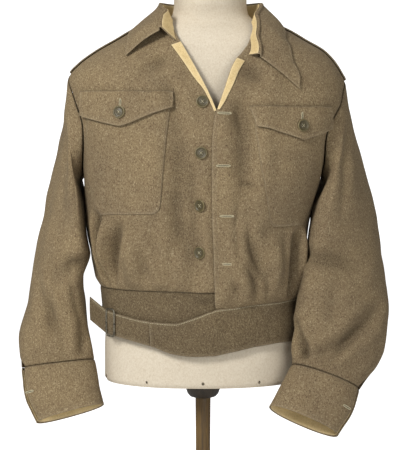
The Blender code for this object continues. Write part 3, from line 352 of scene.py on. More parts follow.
# What each piece of cloth was cut to: width and length of its flat pattern, its area, and what carries it
form, fronts = ("form_torso_canvas",), ("front_left_cloth", "front_right_cloth")
cuts = {
    "front_right": (0.386, 0.557, 0.140, "hung", form),
    "front_left": (0.278, 0.577, 0.119, "hung", form),
    "back": (0.592, 0.632, 0.251, "hung", form),
    "collar": (0.690, 0.117, 0.0523, "folded", fronts),
    "facing_right": (0.018, 0.140, 0.00135, "laid", fronts[1:]),
    "facing_left": (0.014, 0.098, 0.0009, "laid", fronts[:1]),
    "collar_lining": (0.536, 0.033, 0.0119, "laid", ("collar_cloth",)),
    "pocket_right": (0.165, 0.201, 0.0287, "laid", fronts[1:]),
    "pocket_left": (0.149, 0.203, 0.0242, "laid", fronts[:1]),
    "pocket_flap_right": (0.181, 0.060, 0.0081, "laid", ("pocket_right_cloth",)),
    "pocket_flap_left": (0.158, 0.057, 0.0068, "laid", ("pocket_left_cloth",)),
    "sleeve_right_top": (0.253, 0.545, 0.0875, "hung", fronts[1:]),
    "sleeve_right_under": (0.216, 0.525, 0.0665, "hung", fronts[1:]),
    "sleeve_left_top": (0.273, 0.598, 0.108, "hung", fronts[:1]),
    "sleeve_left_under": (0.231, 0.585, 0.0875, "hung", fronts[:1]),
    "cuff_right": (0.318, 0.101, 0.0272, "gathered", ("sleeve_right_top_cloth",)),
    "cuff_left": (0.321, 0.088, 0.0257, "gathered", ("sleeve_left_top_cloth",)),
    "cuff_lining_right": (0.300, 0.094, 0.0236, "laid", ("cuff_right_cloth",)),
    "cuff_lining_left": (0.302, 0.081, 0.0225, "laid", ("cuff_left_cloth",)),
    "shoulder_strap_right": (0.048, 0.162, 0.0070, "laid", fronts[1:]),
    "shoulder_strap_left": (0.048, 0.158, 0.0068, "laid", fronts[:1]),
    "waistband_right": (0.282, 0.079, 0.0204, "hung", fronts[1:]),
    "waistband_back": (0.465, 0.074, 0.0334, "hung", ("back_cloth",)),
    "waistband_left": (0.332, 0.078, 0.0217, "hung", fronts[:1]),
    "belt_tongue": (0.139, 0.041, 0.0051, "laid", ("waistband_right_cloth",)),
}


def place(obj, slot, *nodes):
    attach(obj, "root")
    if nodes:
        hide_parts(*nodes)
    if nodes and nodes[0] in cuts:
        width, length, area, held, carriers = cuts[nodes[0]]
        list(carriers)
    return obj


def clothWall(node, face, normals, thick, finish, sewn=(), hem=None, creaseShade=None, grooves=()):
    # a closed wall of cloth with a rounded rim; sewn borders dip into their seam, hems carry a stitched groove.
    # It gives back the face as it then lies, for the stitches
    gaps = borderDistances(face)
    free = [gaps[b] for b in borders if b not in sewn] or [np.full(face.shape[:2], 1.0)]
    edge = np.min(free, axis=0)
    seam = np.min([gaps[b] for b in sewn] or [np.full(face.shape[:2], 1.0)], axis=0)
    dip = jacket["seamDip"] * np.exp(-seam / jacket["seamReach"])
    if hem:
        dip = dip + jacket["hemGroove"] * np.exp(-(((edge - hem) / jacket["grooveWidth"]) ** 2))
    for border, distance in grooves:
        dip = dip + jacket["hemGroove"] * np.exp(-(((gaps[border] - distance) / jacket["grooveWidth"]) ** 2))
    face = face - normals * dip[..., None]
    rows, columns = face.shape[:2]
    count = rows * columns
    index = np.arange(count).reshape(rows, columns)
    quads = np.stack([index[:-1, :-1], index[:-1, 1:], index[1:, 1:], index[1:, :-1]], -1).reshape(-1, 4)
    loop = np.concatenate([index[0], index[1:, -1], index[-1, -2::-1], index[-2:0:-1, 0]])
    outward = np.zeros_like(face)
    whole = slice(None)
    for border, rowAt, near in (
        ("bottom", (0, whole), (1, whole)), ("top", (-1, whole), (-2, whole)),
        ("left", (whole, 0), (whole, 1)), ("right", (whole, -1), (whole, -2)),
    ):
        outward[rowAt] += unit(face[rowAt] - face[near]) * jacket["rim"][border in sewn]
    flatFace, flatNormal, flatOut = face.reshape(-1, 3), normals.reshape(-1, 3), outward.reshape(-1, 3)
    flatOut = flatOut - flatNormal * np.sum(flatOut * flatNormal, axis=1, keepdims=True)
    points = [flatFace, flatFace - flatNormal * thick]
    middle = flatFace[loop] - flatNormal[loop] * thick / 2
    chain = [loop]
    for turn in (45, 90, 135):
        lean = math.radians(turn)
        ring = middle + (flatNormal[loop] * math.cos(lean) + flatOut[loop] * math.sin(lean)) * thick / 2
        chain.append(len(loop) * len(chain[1:]) + 2 * count + np.arange(len(loop)))
        points.append(ring)
    chain.append(loop + count)
    faces = [quads, quads[:, ::-1] + count]
    for a, b in zip(chain, chain[1:]):
        faces.append(np.stack([np.roll(a, -1), a, b, np.roll(b, -1)], -1))
    faces = np.concatenate(faces)
    r, c = rows // 2, columns // 2
    here = np.cross(face[r, c + 1] - face[r, c], face[r + 1, c] - face[r, c])
    if here @ normals[r, c] < 0:
        faces = faces[:, ::-1]
    flatUv = np.stack([gaps["left"] - gaps["left"][:, c : c + 1], gaps["bottom"]], -1).reshape(-1, 2)
    each = lambda v: np.concatenate([v, v] + [v[loop]] * 3)
    # the last value is a painted-shade mask for the furrows of creases
    values = {
        "edge": each(edge.ravel()),
        "seam": each(seam.ravel()),
        "creaseShade": each((np.zeros(count) if creaseShade is None else np.clip(creaseShade, 0, 1).ravel())),
    }
    obj = meshObject(node + "_cloth", np.concatenate(points), faces.tolist(), finish, each(flatUv), values)
    place(obj, "drill" if finish == drill else "serge", node)
    return face


def onBody(spots, lift):
    angle, height = spots
    point, normal = bodyPoint(angle, height), bodyNormal(angle, height)
    off = lift(angle, height) if callable(lift) else np.full(angle.shape, float(lift))
    # painted shade mask: how deep each spot lies in the furrow of a crease
    shade = blendIn(-creaseRise(angle, height), 1.5 * mm, 11 * mm)
    return point + normal * off[..., None], normal, shade


def turnedMesh(name, profile, around, finish, centre=(0, 0, 0), tilt=None):
    # a turned solid from (radius, height) points, with more detail round it than its CAD node
    shell = bmesh.new()
    rings = []
    for radius, height in profile:
        if radius < 1e-6:
            rings.append([shell.verts.new((0, 0, height))])
            continue
        turns = [2 * math.pi * i / around for i in range(around)]
        rings.append([shell.verts.new((radius * math.cos(a), radius * math.sin(a), height)) for a in turns])
    for low, high in zip(rings, rings[1:]):
        for i in range(around):
            j = (i + 1) % around
            corners = [low[i % len(low)], low[j % len(low)], high[j % len(high)], high[i % len(high)]]
            unique = list(dict.fromkeys(corners))
            if len(unique) > 2:
                shell.faces.new(unique)
    flat = shell.loops.layers.uv.new("cloth")
    for face in shell.faces:
        for corner in face.loops:
            corner[flat].uv = corner.vert.co.xy
    if tilt is not None:
        turn = Vector(tilt).to_track_quat("Z", "Y").to_matrix().to_4x4()
        bmesh.ops.transform(shell, matrix=turn, verts=shell.verts)
    bmesh.ops.translate(shell, vec=Vector(centre), verts=shell.verts)
    if shell.calc_volume(signed=True) < 0:
        bmesh.ops.reverse_faces(shell, faces=shell.faces)
    mesh = bpy.data.meshes.new(name)
    shell.to_mesh(mesh)
    shell.free()
    mesh.shade_smooth()
    mesh.set_sharp_from_angle(angle=math.radians(48))
    mesh.materials.append(finish)
    return addObject(name, mesh)


def tubeMesh(name, path, radius, finish, sidesRound=8, closed=False):
    # a wire or thread along a path of points
    path = np.asarray(path, float)
    ahead = unit(np.roll(path, -1, axis=0) - np.roll(path, 1, axis=0)) if closed else unit(np.gradient(path, axis=0))
    aside = unit(np.cross(ahead, np.array([0.13, 0.21, 0.97])))
    above = np.cross(aside, ahead)
    turns = np.linspace(0, 2 * math.pi, sidesRound, endpoint=False)
    outward = np.cos(turns)[:, None] * aside[:, None] + np.sin(turns)[:, None] * above[:, None]
    rings = path[:, None] + radius * outward
    count, faces = len(path), []
    for i in range(count if closed else count - 1):
        k = (i + 1) % count
        for j in range(sidesRound):
            m = (j + 1) % sidesRound
            faces.append((i * sidesRound + j, i * sidesRound + m, k * sidesRound + m, k * sidesRound + j))
    if not closed:
        faces += [tuple(range(sidesRound))[::-1], tuple(range((count - 1) * sidesRound, count * sidesRound))]
    return meshObject(name, rings.reshape(-1, 3), faces, finish)


# Node graphs


class Graph:
    def __init__(self, tree):
        self.tree = tree

    def add(self, kind, inputs=None, **settings):
        node = self.tree.nodes.new(kind)
        for key, value in settings.items():
            setattr(node, key, value)
        return self.give(node, inputs or {})

    def give(self, node, inputs):
        # each input is linked to a socket, or set to a value
        for key, value in inputs.items():
            if isinstance(value, bpy.types.NodeSocket):
                self.tree.links.new(value, node.inputs[key])
            else:
                node.inputs[key].default_value = value
        return node

    def maths(self, operation, a, b=0.0):
        return self.add("ShaderNodeMath", {0: a, 1: b}, operation=operation).outputs[0]

    def times(self, a, b):
        return self.maths("MULTIPLY", a, b)

    def plus(self, a, b):
        return self.maths("ADD", a, b)

    def noise(self, vector, scale, detail, **more):
        inputs = {"Vector": vector, "Scale": scale, "Detail": detail, **more}
        return self.add("ShaderNodeTexNoise", inputs).outputs["Fac"]

    def bump(self, strength, distance, height):
        return self.add("ShaderNodeBump", {"Strength": strength, "Distance": distance, "Height": height}).outputs[0]

    def ramp(self, factor, stops):
        node = self.add("ShaderNodeValToRGB", {0: factor})
        bar = node.color_ramp.elements
        while len(bar) < len(stops):
            bar.new(0.5)
        for stop, (at, colour) in zip(bar, stops):
            stop.position, stop.color = at, (*colour, 1)
        return node.outputs[0]

    def mix(self, factor, a, b, blend="MIX"):
        colours = {key: (*value, 1) if isinstance(value, (tuple, list)) else value for key, value in ((6, a), (7, b))}
        settings = {"data_type": "RGBA", "blend_type": blend, "clamp_factor": True}
        return self.add("ShaderNodeMix", {0: factor, **colours}, **settings).outputs[2]


def effectGroup(name, inputs, outputs):
    tree = bpy.data.node_groups.new(name, "ShaderNodeTree")
    for kind, sockets in (("INPUT", inputs), ("OUTPUT", outputs)):
        for socket, shape, value in sockets:
            made = tree.interface.new_socket(name=socket, in_out=kind, socket_type="NodeSocket" + shape)
            if value is not None:
                made.default_value = value
    return tree, Graph(tree), tree.nodes.new("NodeGroupInput").outputs, tree.nodes.new("NodeGroupOutput")


def twillGroup():
    # raised diagonal ribs crossed by a finer weft, for the twill of serge and drill
    tree, graph, given, put = effectGroup(
        "twillWeave",
        (("Vector", "Vector", None), ("Threads", "Float", 260.0), ("Slant", "Vector", None)),
        (("Height", "Float", None), ("Line", "Float", None)),
    )
    turned = graph.add("ShaderNodeMapping", {"Vector": given["Vector"], "Rotation": given["Slant"]}).outputs[0]
    rib = graph.add("ShaderNodeTexWave",
                    {"Vector": turned, "Scale": given["Threads"], "Distortion": 1.6, "Detail": 1.0,
                    "Detail Scale": 2.0}, wave_type="BANDS", bands_direction="X").outputs["Fac"]
    weft = graph.add("ShaderNodeTexWave", {"Vector": given["Vector"], "Scale": graph.times(given["Threads"], 1.7),
                     "Distortion": 1.0}, wave_type="BANDS", bands_direction="Y").outputs["Fac"]
    height = graph.plus(graph.times(rib, 0.7), graph.times(weft, 0.3))
    graph.give(put, {"Height": height, "Line": rib})
    return tree


def heatherGroup():
    # mixed yarn colours: fine flecks, short upright streaks and broad clouds
    tree, graph, given, put = effectGroup(
        "heatherYarn",
        (("Vector", "Vector", None), ("Fine", "Float", 420.0), ("Broad", "Float", 9.0)),
        (("Fleck", "Float", None), ("Streak", "Float", None), ("Cloud", "Float", None)),
    )
    fleck = graph.noise(given["Vector"], given["Fine"], 3.0, Roughness=0.62)
    drawn = graph.add("ShaderNodeMapping", {"Vector": given["Vector"], "Scale": (1.0, 1.0, 0.7)}).outputs[0]
    streak = graph.noise(drawn, graph.times(given["Fine"], 0.62), 2.0, Roughness=0.55)
    cloud = graph.noise(given["Vector"], given["Broad"], 4.0, Roughness=0.6)
    graph.give(put, {"Fleck": fleck, "Streak": streak, "Cloud": cloud})
    return tree


def wearAndShadeGroup():
    # rubbed free edges, with painted shade along seams and in the furrows of creases, read from what each sewn piece
    # carries
    tree, graph, given, put = effectGroup(
        "rubAndShade",
        (("Vector", "Vector", None), ("Rub Width", "Float", 2.2 * mm), ("Seam Width", "Float", 1.2 * mm)),
        (("Rub", "Float", None), ("SeamShade", "Float", None), ("FurrowShade", "Float", None)),
    )
    read = lambda key: graph.add("ShaderNodeAttribute", attribute_name=key, attribute_type="GEOMETRY").outputs["Fac"]
    ragged = graph.noise(given["Vector"], 90.0, 3.0)
    near = lambda key, width: graph.maths("EXPONENT", graph.times(graph.maths("DIVIDE", read(key), width), -1.0))
    rub = graph.times(near("edge", given["Rub Width"]), graph.times(ragged, 1.5))
    seamShade = near("seam", given["Seam Width"])
    graph.give(put, {"Rub": rub, "SeamShade": seamShade, "FurrowShade": read("creaseShade")})
    return tree


twillWeave, heatherYarn, rubAndShade = twillGroup(), heatherGroup(), wearAndShadeGroup()


def newMaterial(name):
    made = bpy.data.materials.new(name)
    made.use_nodes = True
    shader = made.node_tree.nodes["Principled BSDF"]
    graph = Graph(made.node_tree)
    return made, graph, shader, graph.add("ShaderNodeTexCoord").outputs["Object"]


def addGroup(graph, tree, inputs):
    return graph.add("ShaderNodeGroup", inputs, node_tree=tree).outputs


# Each look also holds the colour and strengths of the painted shade in crease furrows and along seams
sergeLook = {
    "tones": ((0.36, (0.078, 0.054, 0.030)), (0.44, (0.160, 0.108, 0.062)), (0.50, (0.196, 0.146, 0.078)),
              (0.57, (0.238, 0.182, 0.104)), (0.67, (0.40, 0.33, 0.21))),
    "clouds": ((0.36, (0.86, 0.85, 0.86)), (0.64, (1.10, 1.09, 1.06))),
    "rubbed": (0.33, 0.27, 0.18), "paintedShadeTone": (0.030, 0.021, 0.012),
    "fine": 780.0, "broad": 7.0, "threads": 250.0, "slant": 63, "rub": 0.34, "seamShade": 0.60, "furrowShade": 0.34,
    "roughness": (0.86, 0.98), "sheen": 0.05, "sheenTint": (0.62, 0.55, 0.42), "relief": 0.55, "depth": 0.5 * mm,
}
drillLook = {
    "tones": ((0.30, (0.42, 0.30, 0.14)), (0.45, (0.60, 0.46, 0.24)), (0.58, (0.66, 0.52, 0.28)),
              (0.72, (0.78, 0.65, 0.40))),
    "clouds": ((0.32, (0.84, 0.80, 0.72)), (0.66, (1.08, 1.06, 1.0))),
    "rubbed": (0.80, 0.68, 0.44), "paintedShadeTone": (0.20, 0.13, 0.06),
    "fine": 800.0, "broad": 16.0, "threads": 360.0, "slant": 60, "rub": 0.35, "seamShade": 0.5, "furrowShade": 0.4,
    "roughness": (0.78, 0.92), "sheen": 0.04, "sheenTint": (0.8, 0.7, 0.5), "relief": 0.4, "depth": 0.35 * mm,
}
formLook = {
    "tones": ((0.30, (0.64, 0.53, 0.39)), (0.5, (0.76, 0.67, 0.53)), (0.7, (0.83, 0.75, 0.62))),
    "clouds": ((0.30, (0.90, 0.88, 0.84)), (0.7, (1.05, 1.05, 1.04))),
    "rubbed": (0.52, 0.43, 0.31), "paintedShadeTone": (0.30, 0.22, 0.14),
    "fine": 600.0, "broad": 5.0, "threads": 420.0, "slant": 90, "rub": 0.5, "seamShade": 0.45, "furrowShade": 0.3,
    "roughness": (0.72, 0.9), "sheen": 0.04, "sheenTint": (0.9, 0.85, 0.75), "relief": 0.22, "depth": 0.3 * mm,
}


def clothMaterial(name, look, tint=1.0):
    made, graph, shader, place3 = newMaterial(name)
    along = graph.add("ShaderNodeUVMap", uv_map="cloth").outputs["UV"]
    yarn = addGroup(graph, heatherYarn, {"Vector": place3, "Fine": look["fine"], "Broad": look["broad"]})
    slant = (0, 0, math.radians(look["slant"]))
    weave = addGroup(graph, twillWeave, {"Vector": along, "Threads": look["threads"], "Slant": slant})
    wearAndShade = addGroup(graph, rubAndShade, {"Vector": place3})
    mixed = graph.plus(graph.times(yarn["Fleck"], 0.55), graph.times(yarn["Streak"], 0.45))
    mixed = graph.plus(mixed, graph.times(graph.maths("SUBTRACT", weave["Line"], 0.5), 0.05))
    colour = graph.ramp(mixed, [(at, [v * tint for v in tone]) for at, tone in look["tones"]])
    colour = graph.mix(1.0, colour, graph.ramp(yarn["Cloud"], look["clouds"]), "MULTIPLY")
    colour = graph.mix(graph.times(wearAndShade["Rub"], look["rub"]), colour, look["rubbed"])
    # painted shade: darker in crease furrows and along seams
    colour = graph.mix(graph.times(wearAndShade["FurrowShade"], look["furrowShade"]), colour, look["paintedShadeTone"])
    colour = graph.mix(graph.times(wearAndShade["SeamShade"], look["seamShade"]), colour, look["paintedShadeTone"])
    low, high = look["roughness"]
    rough = graph.plus(low, graph.times(yarn["Cloud"], high - low))
    height = graph.plus(graph.times(weave["Height"], 0.6), graph.times(yarn["Fleck"], 0.8))
    bump = graph.bump(look["relief"], look["depth"], height)
    graph.give(shader, {
        "Base Color": colour,
        "Roughness": rough,
        "Normal": bump,
        "Sheen Weight": look["sheen"],
        "Sheen Roughness": 0.6,
        "Sheen Tint": (*look["sheenTint"], 1),
        "Specular IOR Level": 0.2,
    })
    return made


woodLook = {"dark": (0.032, 0.018, 0.004), "light": (0.19, 0.105, 0.022), "grain": 34.0, "roughness": (0.5, 0.75)}
flangeLook = {"dark": (0.010, 0.007, 0.004), "light": (0.040, 0.026, 0.012), "grain": 40.0, "roughness": (0.5, 0.75)}


def woodMaterial(name, look):
    made, graph, shader, place3 = newMaterial(name)
    drawn = graph.add("ShaderNodeMapping", {"Vector": place3, "Scale": (1.0, 1.0, 0.07)}).outputs[0]
    grain = graph.noise(drawn, look["grain"] * 4, 6.0, Roughness=0.65, Distortion=0.6)
    pores = graph.noise(drawn, look["grain"] * 30, 2.0)
    mixed = graph.plus(graph.times(grain, 0.75), graph.times(pores, 0.25))
    middle = [(a + b) / 2 for a, b in zip(look["dark"], look["light"])]
    colour = graph.ramp(mixed, ((0.32, look["dark"]), (0.5, middle), (0.68, look["light"])))
    low, high = look["roughness"]
    rough = graph.plus(low, graph.times(pores, high - low))
    bump = graph.bump(0.25, 0.4 * mm, mixed)
    graph.give(shader, {
        "Base Color": colour,
        "Roughness": rough,
        "Normal": bump,
        "Coat Weight": 0.08,
        "Coat Roughness": 0.2,
    })
    return made


buttonLook = {"paint": (0.070, 0.054, 0.020), "worn": (0.34, 0.27, 0.12), "hole": (0.012, 0.010, 0.006),
              "holeAt": 2.3 * mm, "holeSize": 1.1 * mm, "rimAt": (8.2 * mm, 10.8 * mm)}


def buttonMaterial(name, look):
    # the face of the button is its own flat map, so the four holes and the worn rim follow it
    made, graph, shader, place3 = newMaterial(name)
    flat = graph.add("ShaderNodeUVMap", uv_map="cloth").outputs["UV"]
    split = graph.add("ShaderNodeSeparateXYZ", {0: flat})
    spots = graph.noise(place3, 700.0, 3.0)
    out = graph.add("ShaderNodeVectorMath", {0: flat}, operation="LENGTH").outputs["Value"]
    rim = graph.add("ShaderNodeMapRange",
                    {0: out, 1: look["rimAt"][0], 2: look["rimAt"][1], 3: 0.0, 4: 1.0}).outputs[0]
    x = graph.maths("SUBTRACT", graph.maths("ABSOLUTE", split.outputs[0]), look["holeAt"])
    y = graph.maths("SUBTRACT", graph.maths("ABSOLUTE", split.outputs[1]), look["holeAt"])
    away = graph.maths("SQRT", graph.plus(graph.times(x, x), graph.times(y, y)))
    inside = {0: away, 1: look["holeSize"] * 0.8, 2: look["holeSize"] * 1.2, 3: 1.0, 4: 0.0}
    hole = graph.add("ShaderNodeMapRange", inside).outputs[0]
    worn = graph.times(rim, graph.ramp(spots, ((0.35, (0.25,) * 3), (0.65, (1,) * 3))))
    colour = graph.mix(worn, look["paint"], look["worn"])
    colour = graph.mix(graph.times(spots, 0.3), colour, [v * 0.4 for v in look["paint"]])
    colour = graph.mix(hole, colour, look["hole"])
    height = graph.maths("SUBTRACT", graph.times(spots, 0.15), hole)
    bump = graph.bump(0.6, 0.5 * mm, height)
    graph.give(shader, {
        "Base Color": colour,
        "Roughness": graph.plus(0.32, graph.times(spots, 0.25)),
        "Normal": bump,
        "Metallic": graph.times(worn, 0.5),
    })
    return made


def metalMaterial(name, dark, light, roughness=0.38):
    made, graph, shader, place3 = newMaterial(name)
    spots = graph.noise(place3, 240.0, 5.0, Roughness=0.7)
    graph.give(shader, {
        "Base Color": graph.ramp(spots, ((0.38, dark), (0.62, light))),
        "Roughness": graph.plus(roughness, graph.times(spots, 0.3)),
    })
    bump = graph.bump(0.3, 0.2 * mm, spots)
    graph.give(shader, {
        "Normal": bump,
        "Metallic": 0.9,
    })
    return made


def threadMaterial(name, dark, light):
    made, graph, shader, place3 = newMaterial(name)
    twist = graph.noise(place3, 1400.0, 2.0)
    graph.give(shader, {
        "Base Color": graph.ramp(twist, ((0.35, dark), (0.65, light))),
        "Roughness": graph.plus(0.6, graph.times(twist, 0.3)),
    })
    bump = graph.bump(0.4, 0.2 * mm, twist)
    graph.give(shader, {"Normal": bump})
    return made


serge = clothMaterial("woolSerge", sergeLook)
# The band copy is the serge darkened as painted shade, for the waistband, belt and shoulder straps; the sleeve copy
# is lightened as painted light, for the sleeves and cuffs
sergeBandPaintedShade = clothMaterial("woolSergeBandPaintedShade", sergeLook, 0.64)
sergeSleevePaintedLight = clothMaterial("woolSergeSleevePaintedLight", sergeLook, 1.04)
drill = clothMaterial("cottonDrill", drillLook)
formCloth = clothMaterial("formCanvas", formLook, 0.78)
wood = woodMaterial("standWood", woodLook)
darkWood = woodMaterial("flangeWood", flangeLook)
buttonPaint = buttonMaterial("buttonPaint", buttonLook)
steel = metalMaterial("buckleSteel", (0.05, 0.045, 0.035), (0.30, 0.27, 0.20))
tackMetal = metalMaterial("tackMetal", (0.10, 0.085, 0.06), (0.26, 0.22, 0.16), 0.45)
sergeThread = threadMaterial("sergeThread", (0.13, 0.098, 0.058), (0.26, 0.21, 0.13))
holeThread = threadMaterial("buttonholeThread", (0.34, 0.29, 0.17), (0.62, 0.56, 0.38))
slitShade = threadMaterial("slitShade", (0.020, 0.015, 0.010), (0.05, 0.038, 0.024))
print("materials made")

# Sewing, as one Geometry Nodes tree laid along every seam line

stitching = {"Pitch": 2.9 * mm, "Length": 2.3 * mm, "Width": 0.55 * mm, "Height": 0.4 * mm, "Turn": 0.0,
             "Jitter": 0.12,
             "Sides": 6}


def stitchTree():
    tree = bpy.data.node_groups.new("stitchRun", "GeometryNodeTree")
    graph = Graph(tree)
    tree.interface.new_socket(name="Geometry", in_out="INPUT", socket_type="NodeSocketGeometry")
    for name, value in stitching.items():
        kind = "NodeSocketInt" if name == "Sides" else "NodeSocketFloat"
        tree.interface.new_socket(name=name, in_out="INPUT", socket_type=kind).default_value = value
    tree.interface.new_socket(name="Material", in_out="INPUT", socket_type="NodeSocketMaterial")
    tree.interface.new_socket(name="Geometry", in_out="OUTPUT", socket_type="NodeSocketGeometry")
    given, put = tree.nodes.new("NodeGroupInput").outputs, tree.nodes.new("NodeGroupOutput").inputs
    line = graph.add("GeometryNodeMeshToCurve", {0: given["Geometry"]}).outputs[0]
    line = graph.add("GeometryNodeResampleCurve", {"Curve": line, "Length": given["Pitch"]}, mode="LENGTH").outputs[0]
    facing = graph.add("GeometryNodeInputNamedAttribute", {"Name": "facing"}, data_type="FLOAT_VECTOR").outputs[0]
    tangent = graph.add("GeometryNodeInputTangent").outputs[0]
    stand = graph.add("FunctionNodeAlignRotationToVector", {"Vector": facing}, axis="Z", pivot_axis="AUTO").outputs[0]
    aim = {"Rotation": stand, "Vector": tangent}
    aimed = graph.add("FunctionNodeAlignRotationToVector", aim, axis="X", pivot_axis="Z").outputs[0]
    stray = graph.add("FunctionNodeRandomValue", {"Seed": 5}, data_type="FLOAT")
    stray.inputs[2].default_value, stray.inputs[3].default_value = -1.0, 1.0
    turn = graph.plus(given["Turn"], graph.times(stray.outputs[1], given["Jitter"]))
    spin = graph.add("ShaderNodeCombineXYZ", {"Z": turn}).outputs[0]
    spin = graph.add("FunctionNodeEulerToRotation", {0: spin}).outputs[0]
    turned = {"Rotation": aimed, "Rotate By": spin}
    aimed = graph.add("FunctionNodeRotateRotation", turned, rotation_space="LOCAL").outputs[0]
    half = lambda name: graph.times(given[name], 0.5)
    size = graph.add("ShaderNodeCombineXYZ",
                     {"X": half("Length"), "Y": half("Width"), "Z": half("Height")}).outputs[0]
    bead = graph.add("GeometryNodeMeshUVSphere", {"Segments": given["Sides"], "Rings": 4, "Radius": 1.0}).outputs[0]
    laid = {"Points": line, "Instance": bead, "Rotation": aimed, "Scale": size}
    run = graph.add("GeometryNodeInstanceOnPoints", laid).outputs[0]
    run = graph.add("GeometryNodeRealizeInstances", {0: run}).outputs[0]
    run = graph.add("GeometryNodeSetShadeSmooth", {0: run}).outputs[0]
    run = graph.add("GeometryNodeSetMaterial", {"Geometry": run, "Material": given["Material"]}).outputs[0]
    tree.links.new(run, put[0])
    return tree


stitchRun = stitchTree()


def sewn(name, lines, finish, slot, **changes):
    # lines are (points, normals, closed); the tree turns them into stitches, kept as one plain mesh
    points, edges, facing = [], [], []
    for path, normal, closed in lines:
        start = len(points)
        points += path.tolist()
        facing += np.broadcast_to(normal, path.shape).tolist()
        edges += [(start + i, start + i + 1) for i in range(len(path) - 1)]
        if closed:
            edges.append((start + len(path) - 1, start))
    mesh = bpy.data.meshes.new(name + "Line")
    mesh.from_pydata(points, edges, [])
    mesh.attributes.new("facing", "FLOAT_VECTOR", "POINT").data.foreach_set("vector", np.array(facing).ravel())
    source = addObject(name + "Line", mesh)
    modifier = source.modifiers.new("stitchRun", "NODES")
    modifier.node_group = stitchRun
    values = {**stitching, **changes, "Material": finish}
    for item in stitchRun.interface.items_tree:
        if item.in_out == "INPUT" and item.name in values:
            modifier[item.identifier] = values[item.name]
    evaluated = source.evaluated_get(bpy.context.evaluated_depsgraph_get())
    made = addObject(name, bpy.data.meshes.new_from_object(evaluated))
    made.data.name = name
    bpy.data.objects.remove(source)
    return place(made, slot)


def inset(grid, normals, border, distance, lift=0.1 * mm, ends=None):
    # a line on the cloth that keeps one distance from a border, and stops short of the next ones by ends
    turned = {"bottom": lambda g: g, "top": lambda g: g[::-1], "left": lambda g: g.swapaxes(0, 1),
              "right": lambda g: g.swapaxes(0, 1)[::-1]}[border]
    face, up = turned(grid), turned(normals)
    arc = np.zeros(face.shape[:2])
    arc[1:] = np.cumsum(np.linalg.norm(np.diff(face, axis=0), axis=2), axis=0)
    path, facing = [], []
    for c in range(face.shape[1]):
        at = float(np.interp(distance, arc[:, c], np.arange(len(arc))))
        low = min(int(at), len(arc) - 2)
        share = at - low
        facing.append(up[low, c] * (1 - share) + up[low + 1, c] * share)
        path.append(face[low, c] * (1 - share) + face[low + 1, c] * share)
    path, facing = np.array(path), unit(np.array(facing))
    run = np.concatenate([[0], np.cumsum(np.linalg.norm(np.diff(path, axis=0), axis=1))])
    trim = distance if ends is None else ends
    keep = (run >= trim * 0.98) & (run <= run[-1] - trim * 0.98)
    return (path + facing * lift)[keep], facing[keep], False


seamLines = {"body": [], "collar": [], "pockets": [], "waist": [], "sleeves": [], "straps": []}
holeLines, slits, paleLines = [], [], []


def stitch(region, face, normals, distance, *along, ends=None):
    # rows of stitches at one distance from the borders named
    seamLines[region] += [inset(face, normals, border, distance, ends=ends) for border in along]


def buttonhole(centre, normal, ahead, length=14 * mm, width=2.6 * mm):
    # a worked hole: a ring of close thread round a dark slit
    ahead = unit(ahead - normal * (ahead @ normal))
    aside = np.cross(normal, ahead)
    turns = np.linspace(0, 2 * math.pi, 40, endpoint=False)
    run = np.sign(np.cos(turns)) * np.abs(np.cos(turns)) ** 0.45 * length / 2
    off = np.sign(np.sin(turns)) * np.abs(np.sin(turns)) ** 0.8 * width / 2
    ring = centre + np.outer(run, ahead) + np.outer(off, aside) + normal * 0.25 * mm
    holeLines.append((ring, normal, True))
    slits.append((centre + normal * 0.22 * mm, normal, ahead, length * 0.84, width * 0.36))


def slitMesh(name):
    points, faces = [], []
    for centre, normal, ahead, length, width in slits:
        aside, start = np.cross(normal, ahead), len(points)
        for turn in np.linspace(0, 2 * math.pi, 14, endpoint=False):
            points.append(centre + ahead * math.cos(turn) * length / 2 + aside * math.sin(turn) * width / 2)
        points += [centre + normal * 0.25 * mm, centre - normal * 0.3 * mm]
        for i in range(14):
            j = (i + 1) % 14
            faces += [(start + i, start + j, start + 14), (start + j, start + i, start + 15)]
    return place(meshObject(name, points, faces, slitShade), "serge")


# Body panels

frontCut = {
    right: {"edge": ((0.00, 50, 533), (0.20, 50, 610), (0.47, 48, 740), (0.56, 42, 790), (0.63, 25, 825),
                     (0.70, 11, 858),
                     (0.77, -6, 891), (0.84, -25, 925), (0.90, -38, 948)),
            "neck": ((16, 948), (25, 972), (42, 986), (90, 994), (135, 989), (180, 984)),
            "facing": (0.645, 0.895), "facingWidth": ((0, 3), (0.3, 4.5), (0.5, 9), (0.75, 12), (1, 15))},
    left: {"edge": ((0.00, 22, 504), (0.20, 17, 600), (0.45, 15, 710), (0.56, 16, 784), (0.64, 21, 822),
                    (0.70, 28, 845),
                    (0.77, 36, 869), (0.85, 46, 900), (0.90, 57, 921)),
           "neck": ((20, 924), (27, 955), (44, 981), (90, 994), (135, 989), (180, 984)),
           "facing": (0.67, 0.895), "facingWidth": ((0, 3), (0.3, 7), (0.6, 10), (1, 13))},
}
panelRows = {"seam": 9, "armhole": 10, "overlapLift": 4.4 * mm, "frontStitch": 6 * mm, "facingStitch": 52 * mm}


def sideways(spots, side):
    # grids run from the wearer's right to the left, so those of the right side are turned round
    return spots if side == left else tuple(part[:, ::-1] for part in spots)


